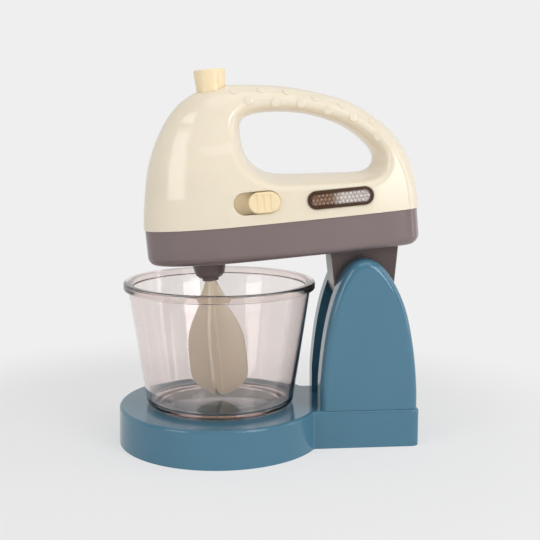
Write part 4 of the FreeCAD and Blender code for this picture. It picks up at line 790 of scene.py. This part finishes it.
def repeated(name, shape, places, width_mm, height_mm, material):
    """One mesh of a small shape at every (place, out, across)."""
    mesh = bpy.data.meshes.new(name)
    mesh.from_pydata([place for place, _, _ in places], [], [])
    for which, attribute in ((1, "out"), (2, "across")):
        made = mesh.attributes.new(attribute, "FLOAT_VECTOR", "POINT")
        for index, place in enumerate(places):
            made.data[index].vector = place[which]
    obj = mesh_object(name, mesh)
    tree = repeat_tree(name, shape, material)
    modifier = obj.modifiers.new(name, "NODES")
    modifier.node_group = tree
    modifier[group_input(tree, "Width")] = width_mm * MM
    modifier[group_input(tree, "Height")] = height_mm * MM
    return bake(obj)


# Grip dots on the handle, in two rows on each side: (x, z) of each in the side view
UPPER_DOTS = [
    (15.9, 185.3), (29.6, 184.7), (42.5, 182.7), (56.6, 178.2), (69.4, 173.7), (83.6, 164.4),
]
LOWER_DOTS = [
    (22.9, 180.2), (35.9, 178.1), (48.6, 176.3), (61.8, 171.9), (74.0, 167.3), (85.1, 157.0),
]
DOT_WIDTH = 4.6
DOT_HEIGHT = 0.5


def on_casing(x, z, side):
    """A place on the casing's side wall, the way out of the wall there, and the way along it."""
    step = 0.1
    around = np.array([(x, z), (x + step, z), (x, z + step)])
    here, further, higher = casing_depth(around, [])
    out = Vector((-(further - here) / step, side, -(higher - here) / step)).normalized()
    turn = Matrix.Rotation(-HEAD_DROOP, 3, "Y")
    return dropped((x, side * here, z)), turn @ out, turn @ Vector((1.0, 0.0, 0.0))


dot_places = []
for side in (-1, 1):
    for x, z in UPPER_DOTS + LOWER_DOTS:
        dot_places.append(on_casing(x, z, side))
dots = repeated("grip_dots", dome_shape, dot_places, DOT_WIDTH, DOT_HEIGHT, FINISH["cream_plastic"])
finish_piece(dots, "near_casing")

# Beads on the front of the lens, in staggered rows
WINDOW_X, WINDOW_Z, WINDOW_LENGTH, WINDOW_HEIGHT = WINDOW
LENS_BORDER = 1.4
LENS_FRONT = 0.2
BEAD_SINK = 0.02
BEAD_PITCH = 2.0
BEAD_HEIGHT = 0.9
BEAD_MARGIN = 0.45


def window_turn():
    """How the light window is turned to lie on the side wall."""
    step = WINDOW_LENGTH / 2
    rise = WINDOW_HEIGHT / 2
    front = wall_half_width(WINDOW_X - step, WINDOW_Z)
    rear = wall_half_width(WINDOW_X + step, WINDOW_Z)
    low = wall_half_width(WINDOW_X, WINDOW_Z - rise)
    high = wall_half_width(WINDOW_X, WINDOW_Z + rise)
    lean = Matrix.Rotation(-math.atan2(low - high, 2 * rise), 3, "X")
    swing = Matrix.Rotation(math.atan2(front - rear, 2 * step), 3, "Z")
    return swing @ lean


def bead_places():
    """Place, way out and way along of each bead that has room on the lens."""
    turn = window_turn()
    foot = Vector((WINDOW_X, -wall_half_width(WINDOW_X, WINDOW_Z), WINDOW_Z))
    droop = Matrix.Rotation(-HEAD_DROOP, 3, "Y")
    out = droop @ turn @ Vector((0.0, -1.0, 0.0))
    across = droop @ turn @ Vector((1.0, 0.0, 0.0))
    radius = WINDOW_HEIGHT / 2 - LENS_BORDER
    reach = WINDOW_LENGTH / 2 - LENS_BORDER - radius
    columns = int((reach + radius) / BEAD_PITCH)
    rows = int(radius / BEAD_PITCH)
    places = []
    for column in range(-columns, columns + 1):
        for row in range(-rows, rows + 1):
            u, v = (column + 0.5 * (row % 2)) * BEAD_PITCH, row * BEAD_PITCH
            past = max(0.0, abs(u) - reach)
            if math.hypot(past, v) > radius - BEAD_PITCH * BEAD_MARGIN:
                continue
            place = foot + turn @ Vector((u, LENS_FRONT + BEAD_SINK, v))
            places.append((dropped(place), out, across))
    return places


beads = repeated("lens_facets", bead_shape, bead_places(), BEAD_PITCH, BEAD_HEIGHT,
                 FINISH["clear_lens_plastic"])
finish_piece(beads, "light_lens")


# Bowl, turned from its profile

BASE_TOP = 19.5


def arc(centre, radius, start, end, steps):
    """Points on an arc from start to end degrees."""
    points = []
    for k in range(steps + 1):
        angle = math.radians(start + (end - start) * k / steps)
        points.append((centre[0] + radius * math.cos(angle), centre[1] + radius * math.sin(angle)))
    return points


LATHE_SEGMENTS = 160


def lathe(name, profile):
    """Closed solid of revolution about the bowl's axis from a (radius, height) profile that
    starts and ends on the axis."""
    mesh = bpy.data.meshes.new(name)
    work = bmesh.new()
    rings = []
    for radius, z in profile:
        if radius == 0.0:
            rings.append([work.verts.new((0.0, 0.0, z * MM))])
            continue
        ring = []
        for k in range(LATHE_SEGMENTS):
            angle = 2 * math.pi * k / LATHE_SEGMENTS
            x = radius * math.cos(angle)
            y = radius * math.sin(angle)
            ring.append(work.verts.new((x * MM, y * MM, z * MM)))
        rings.append(ring)
    for low, high in zip(rings, rings[1:]):
        for k in range(LATHE_SEGMENTS):
            after = (k + 1) % LATHE_SEGMENTS
            corners = []
            for ring, index in ((low, k), (low, after), (high, after), (high, k)):
                vert = ring[index if len(ring) > 1 else 0]
                if vert not in corners:
                    corners.append(vert)
            if len(corners) > 2:
                work.faces.new(corners)
    bmesh.ops.recalc_face_normals(work, faces=work.faces)
    work.to_mesh(mesh)
    work.free()
    return mesh


SEAT_GAP = 0.1
BOWL_LOW = BASE_TOP + SEAT_GAP
BOWL_TOP = 83.9
RIM_LOW = 80.0
RIM_RADIUS = 49.4
NECK_RADIUS = 47.0
FOOT_RADIUS = 38.6
FOOT_ROUND = 3.6
BOWL_WALL = 1.8
SEAT_RADIUS = 26.4
SEAT_SLOPE = 1.6
BOWL_FLOOR = BOWL_LOW + 1.35
FLOOR_STEP = 0.4
FOOT_INSIDE = 2.4
FOOT_THICKER = 1.2
RECESS = BOWL_LOW + 0.85
NECK_FILLET = 0.5
RIM_LOW_EDGE = 0.8
RIM_TOP_EDGE = 1.2
BOWL_CREASE_DEG = 32.0


def bowl_profile():
    """Half section of the bowl: underside, outer wall, rim, inner wall and floor."""
    points = [(0.0, RECESS), (SEAT_RADIUS, RECESS), (SEAT_RADIUS + 0.3, RECESS - 0.15),
              (SEAT_RADIUS + SEAT_SLOPE - 0.3, BOWL_LOW + 0.1),
              (SEAT_RADIUS + SEAT_SLOPE, BOWL_LOW)]
    points += arc((FOOT_RADIUS - FOOT_ROUND, BOWL_LOW + FOOT_ROUND), FOOT_ROUND, -90, -6, 8)
    points += arc((NECK_RADIUS + NECK_FILLET, RIM_LOW - NECK_FILLET), NECK_FILLET, 180, 90, 4)
    points += arc((RIM_RADIUS - RIM_LOW_EDGE, RIM_LOW + RIM_LOW_EDGE), RIM_LOW_EDGE, -90, 0, 5)
    points += arc((RIM_RADIUS - RIM_TOP_EDGE, BOWL_TOP - RIM_TOP_EDGE), RIM_TOP_EDGE, 0, 90, 6)
    points += arc((NECK_RADIUS - BOWL_WALL + RIM_TOP_EDGE, BOWL_TOP - RIM_TOP_EDGE),
                  RIM_TOP_EDGE, 90, 180, 6)
    points += [(NECK_RADIUS - BOWL_WALL - 0.1, RIM_LOW - 1.0)]
    inner = FOOT_RADIUS - BOWL_WALL
    points += arc((inner - FOOT_INSIDE, BOWL_FLOOR + FOOT_THICKER + FOOT_INSIDE), FOOT_INSIDE,
                  -6, -90, 7)
    points += [(SEAT_RADIUS + 5.0, BOWL_FLOOR + 0.15), (SEAT_RADIUS, BOWL_FLOOR + FLOOR_STEP),
               (0.0, BOWL_FLOOR + FLOOR_STEP)]
    return points


bowl = mesh_object("bowl_wall", lathe("bowl_wall", bowl_profile()))
smooth_by_angle(bowl.data, BOWL_CREASE_DEG)
finish_piece(bowl, "bowl")
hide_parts("bowl")


# Every other rigid node keeps the solid's own shape, with its triangles joined

skins = {}
for node in sorted(frame["nodes"]):
    if node in ("near_casing", "far_casing", "bowl"):
        continue
    skins[node] = merged_copy(node)
    # The bracket gets the darker taupe, which paints the shade it stands in under the tray
    material = FINISH["painted_shade_taupe_plastic"] if node == "hinge_bracket" else None
    finish_piece(skins[node], node, material)
    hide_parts(node)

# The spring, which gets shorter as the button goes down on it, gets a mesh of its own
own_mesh(skins["button_spring"])


# Floor, light and camera

def shows_backdrop(tree, in_reflections=1.0):
    """1 for a ray that sees the backdrop: straight, through something clear or in a reflection."""
    ray = add(tree, "ShaderNodeLightPath")
    clear = add(tree, "ShaderNodeMath", {0: ray.outputs["Is Camera Ray"],
                                         1: ray.outputs["Is Transmission Ray"]},
                operation="MAXIMUM")
    mirrored = add(tree, "ShaderNodeMath", {0: ray.outputs["Is Glossy Ray"], 1: in_reflections},
                   operation="MULTIPLY")
    seen = add(tree, "ShaderNodeMath", {0: clear.outputs["Value"], 1: mirrored.outputs["Value"]},
               operation="MAXIMUM")
    return seen.outputs["Value"]


BACKDROP = "EFEFEF"
# The paper takes the lamps' light and the shadow near the object and is even further off
EVEN_FROM = 0.13
EVEN_AT = 0.26
EVEN_SHARE_NEAR = 0.6


def stage_material():
    """Pale paper sweep: faint fibres, lit near the object and even like a backdrop further off."""
    material = new_material("pale_paper_sweep")
    tree = material.node_tree
    where = add(tree, "ShaderNodeTexCoord").outputs["Object"]
    reach = add(tree, "ShaderNodeVectorMath", {0: where}, operation="LENGTH")
    fade = add(tree, "ShaderNodeMapRange", {"Value": reach.outputs["Value"],
                                            "From Min": EVEN_FROM, "From Max": EVEN_AT,
                                            "To Min": EVEN_SHARE_NEAR},
               interpolation_type="SMOOTHSTEP")
    fibre = add(tree, "ShaderNodeTexNoise", {"Vector": where, "Scale": 1 / (PAPER_FIBRE * MM),
                                             "Detail": 3.0})
    bump = add(tree, "ShaderNodeBump", {"Strength": 0.1, "Distance": 0.02 * MM,
                                        "Height": fibre.outputs["Fac"]})
    lit = add(tree, "ShaderNodeBsdfDiffuse", {"Color": linear("F8F8F8"),
                                              "Normal": bump.outputs["Normal"]})
    even = add(tree, "ShaderNodeEmission", {"Color": linear(BACKDROP), "Strength": 1.0})
    share = add(tree, "ShaderNodeMath", {0: shows_backdrop(tree), 1: fade.outputs["Result"]},
                operation="MULTIPLY")
    both = add(tree, "ShaderNodeMixShader", {0: share.outputs["Value"], 1: lit.outputs["BSDF"],
                                             2: even.outputs["Emission"]})
    add(tree, "ShaderNodeOutputMaterial", {"Surface": both.outputs["Shader"]})
    return material


FLOOR_REACH = 3.0
floor_corners = []
for x, y in ((-1, -1), (1, -1), (1, 1), (-1, 1)):
    floor_corners.append((x * FLOOR_REACH, y * FLOOR_REACH, 0))
floor_mesh = bpy.data.meshes.new("paper_floor")
floor_mesh.from_pydata(floor_corners, [], [(0, 1, 2, 3)])
floor = mesh_object("paper_floor", floor_mesh)
floor_mesh.materials.append(stage_material())

FILL_STRENGTH = 0.34

world = bpy.data.worlds.new("studio")
bpy.context.scene.world = world
world.use_nodes = True
studio = world.node_tree
studio.nodes.clear()
seen_world = add(studio, "ShaderNodeBackground", {"Color": linear(BACKDROP), "Strength": 1.0})
fill = add(studio, "ShaderNodeBackground", {"Color": linear("F2F4F6"), "Strength": FILL_STRENGTH})
# The pale backdrop stands behind the object, so only reflections that look that way show it
way = add(studio, "ShaderNodeTexCoord").outputs["Generated"]
way_back = add(studio, "ShaderNodeSeparateXYZ", {"Vector": way}).outputs["Y"]
behind = add(studio, "ShaderNodeMapRange", {"Value": way_back, "From Min": -0.1, "From Max": 0.4})
seen = shows_backdrop(studio, behind.outputs["Result"])
choice = add(studio, "ShaderNodeMixShader", {0: seen, 1: fill.outputs["Background"],
                                             2: seen_world.outputs["Background"]})
add(studio, "ShaderNodeOutputWorld", {"Surface": choice.outputs["Shader"]})


MIDDLE = (0.03, 0.0, 0.1)


def softbox(name, place, width, height, watts):
    """A rectangular lamp that faces the object's middle."""
    light = bpy.data.lights.new(name, "AREA")
    light.shape = "RECTANGLE"
    light.size = width
    light.size_y = height
    light.energy = watts
    obj = bpy.data.objects.new(name, light)
    bpy.context.scene.collection.objects.link(obj)
    obj.location = place
    obj.rotation_mode = "QUATERNION"
    obj.rotation_quaternion = (Vector(MIDDLE) - Vector(place)).to_track_quat("-Z", "Y")


softbox("right_softbox", (0.64, -0.82, 0.43), 0.46, 0.6, 4.0)
softbox("left_softbox", (-0.71, -0.55, 0.42), 0.4, 0.66, 2.2)
softbox("right_strip", (0.98, -0.1, 0.35), 0.35, 0.8, 1.6)
softbox("top_front", (0.1, -0.45, 0.95), 0.8, 0.7, 1.9)
softbox("overhead", (0.05, 0.2, 1.1), 1.1, 1.1, 1.2)

CAMERA_PLACE = (-0.0206, -0.5110, 0.1687)
CAMERA_WAY = (0.0901, 0.9839, -0.1541)
SENSOR_WIDTH = 36.0
FOCAL_LENGTH = 66.67

camera = bpy.data.objects.new("camera", bpy.data.cameras.new("camera"))
bpy.context.scene.collection.objects.link(camera)
camera.data.sensor_width = SENSOR_WIDTH
camera.data.lens = FOCAL_LENGTH
camera.data.clip_start = 0.01
camera.data.clip_end = 20.0
camera.location = CAMERA_PLACE
camera.rotation_mode = "QUATERNION"
camera.rotation_quaternion = Vector(CAMERA_WAY).to_track_quat("-Z", "Y")
bpy.context.scene.camera = camera

bpy.context.scene.view_settings.view_transform = "Standard"
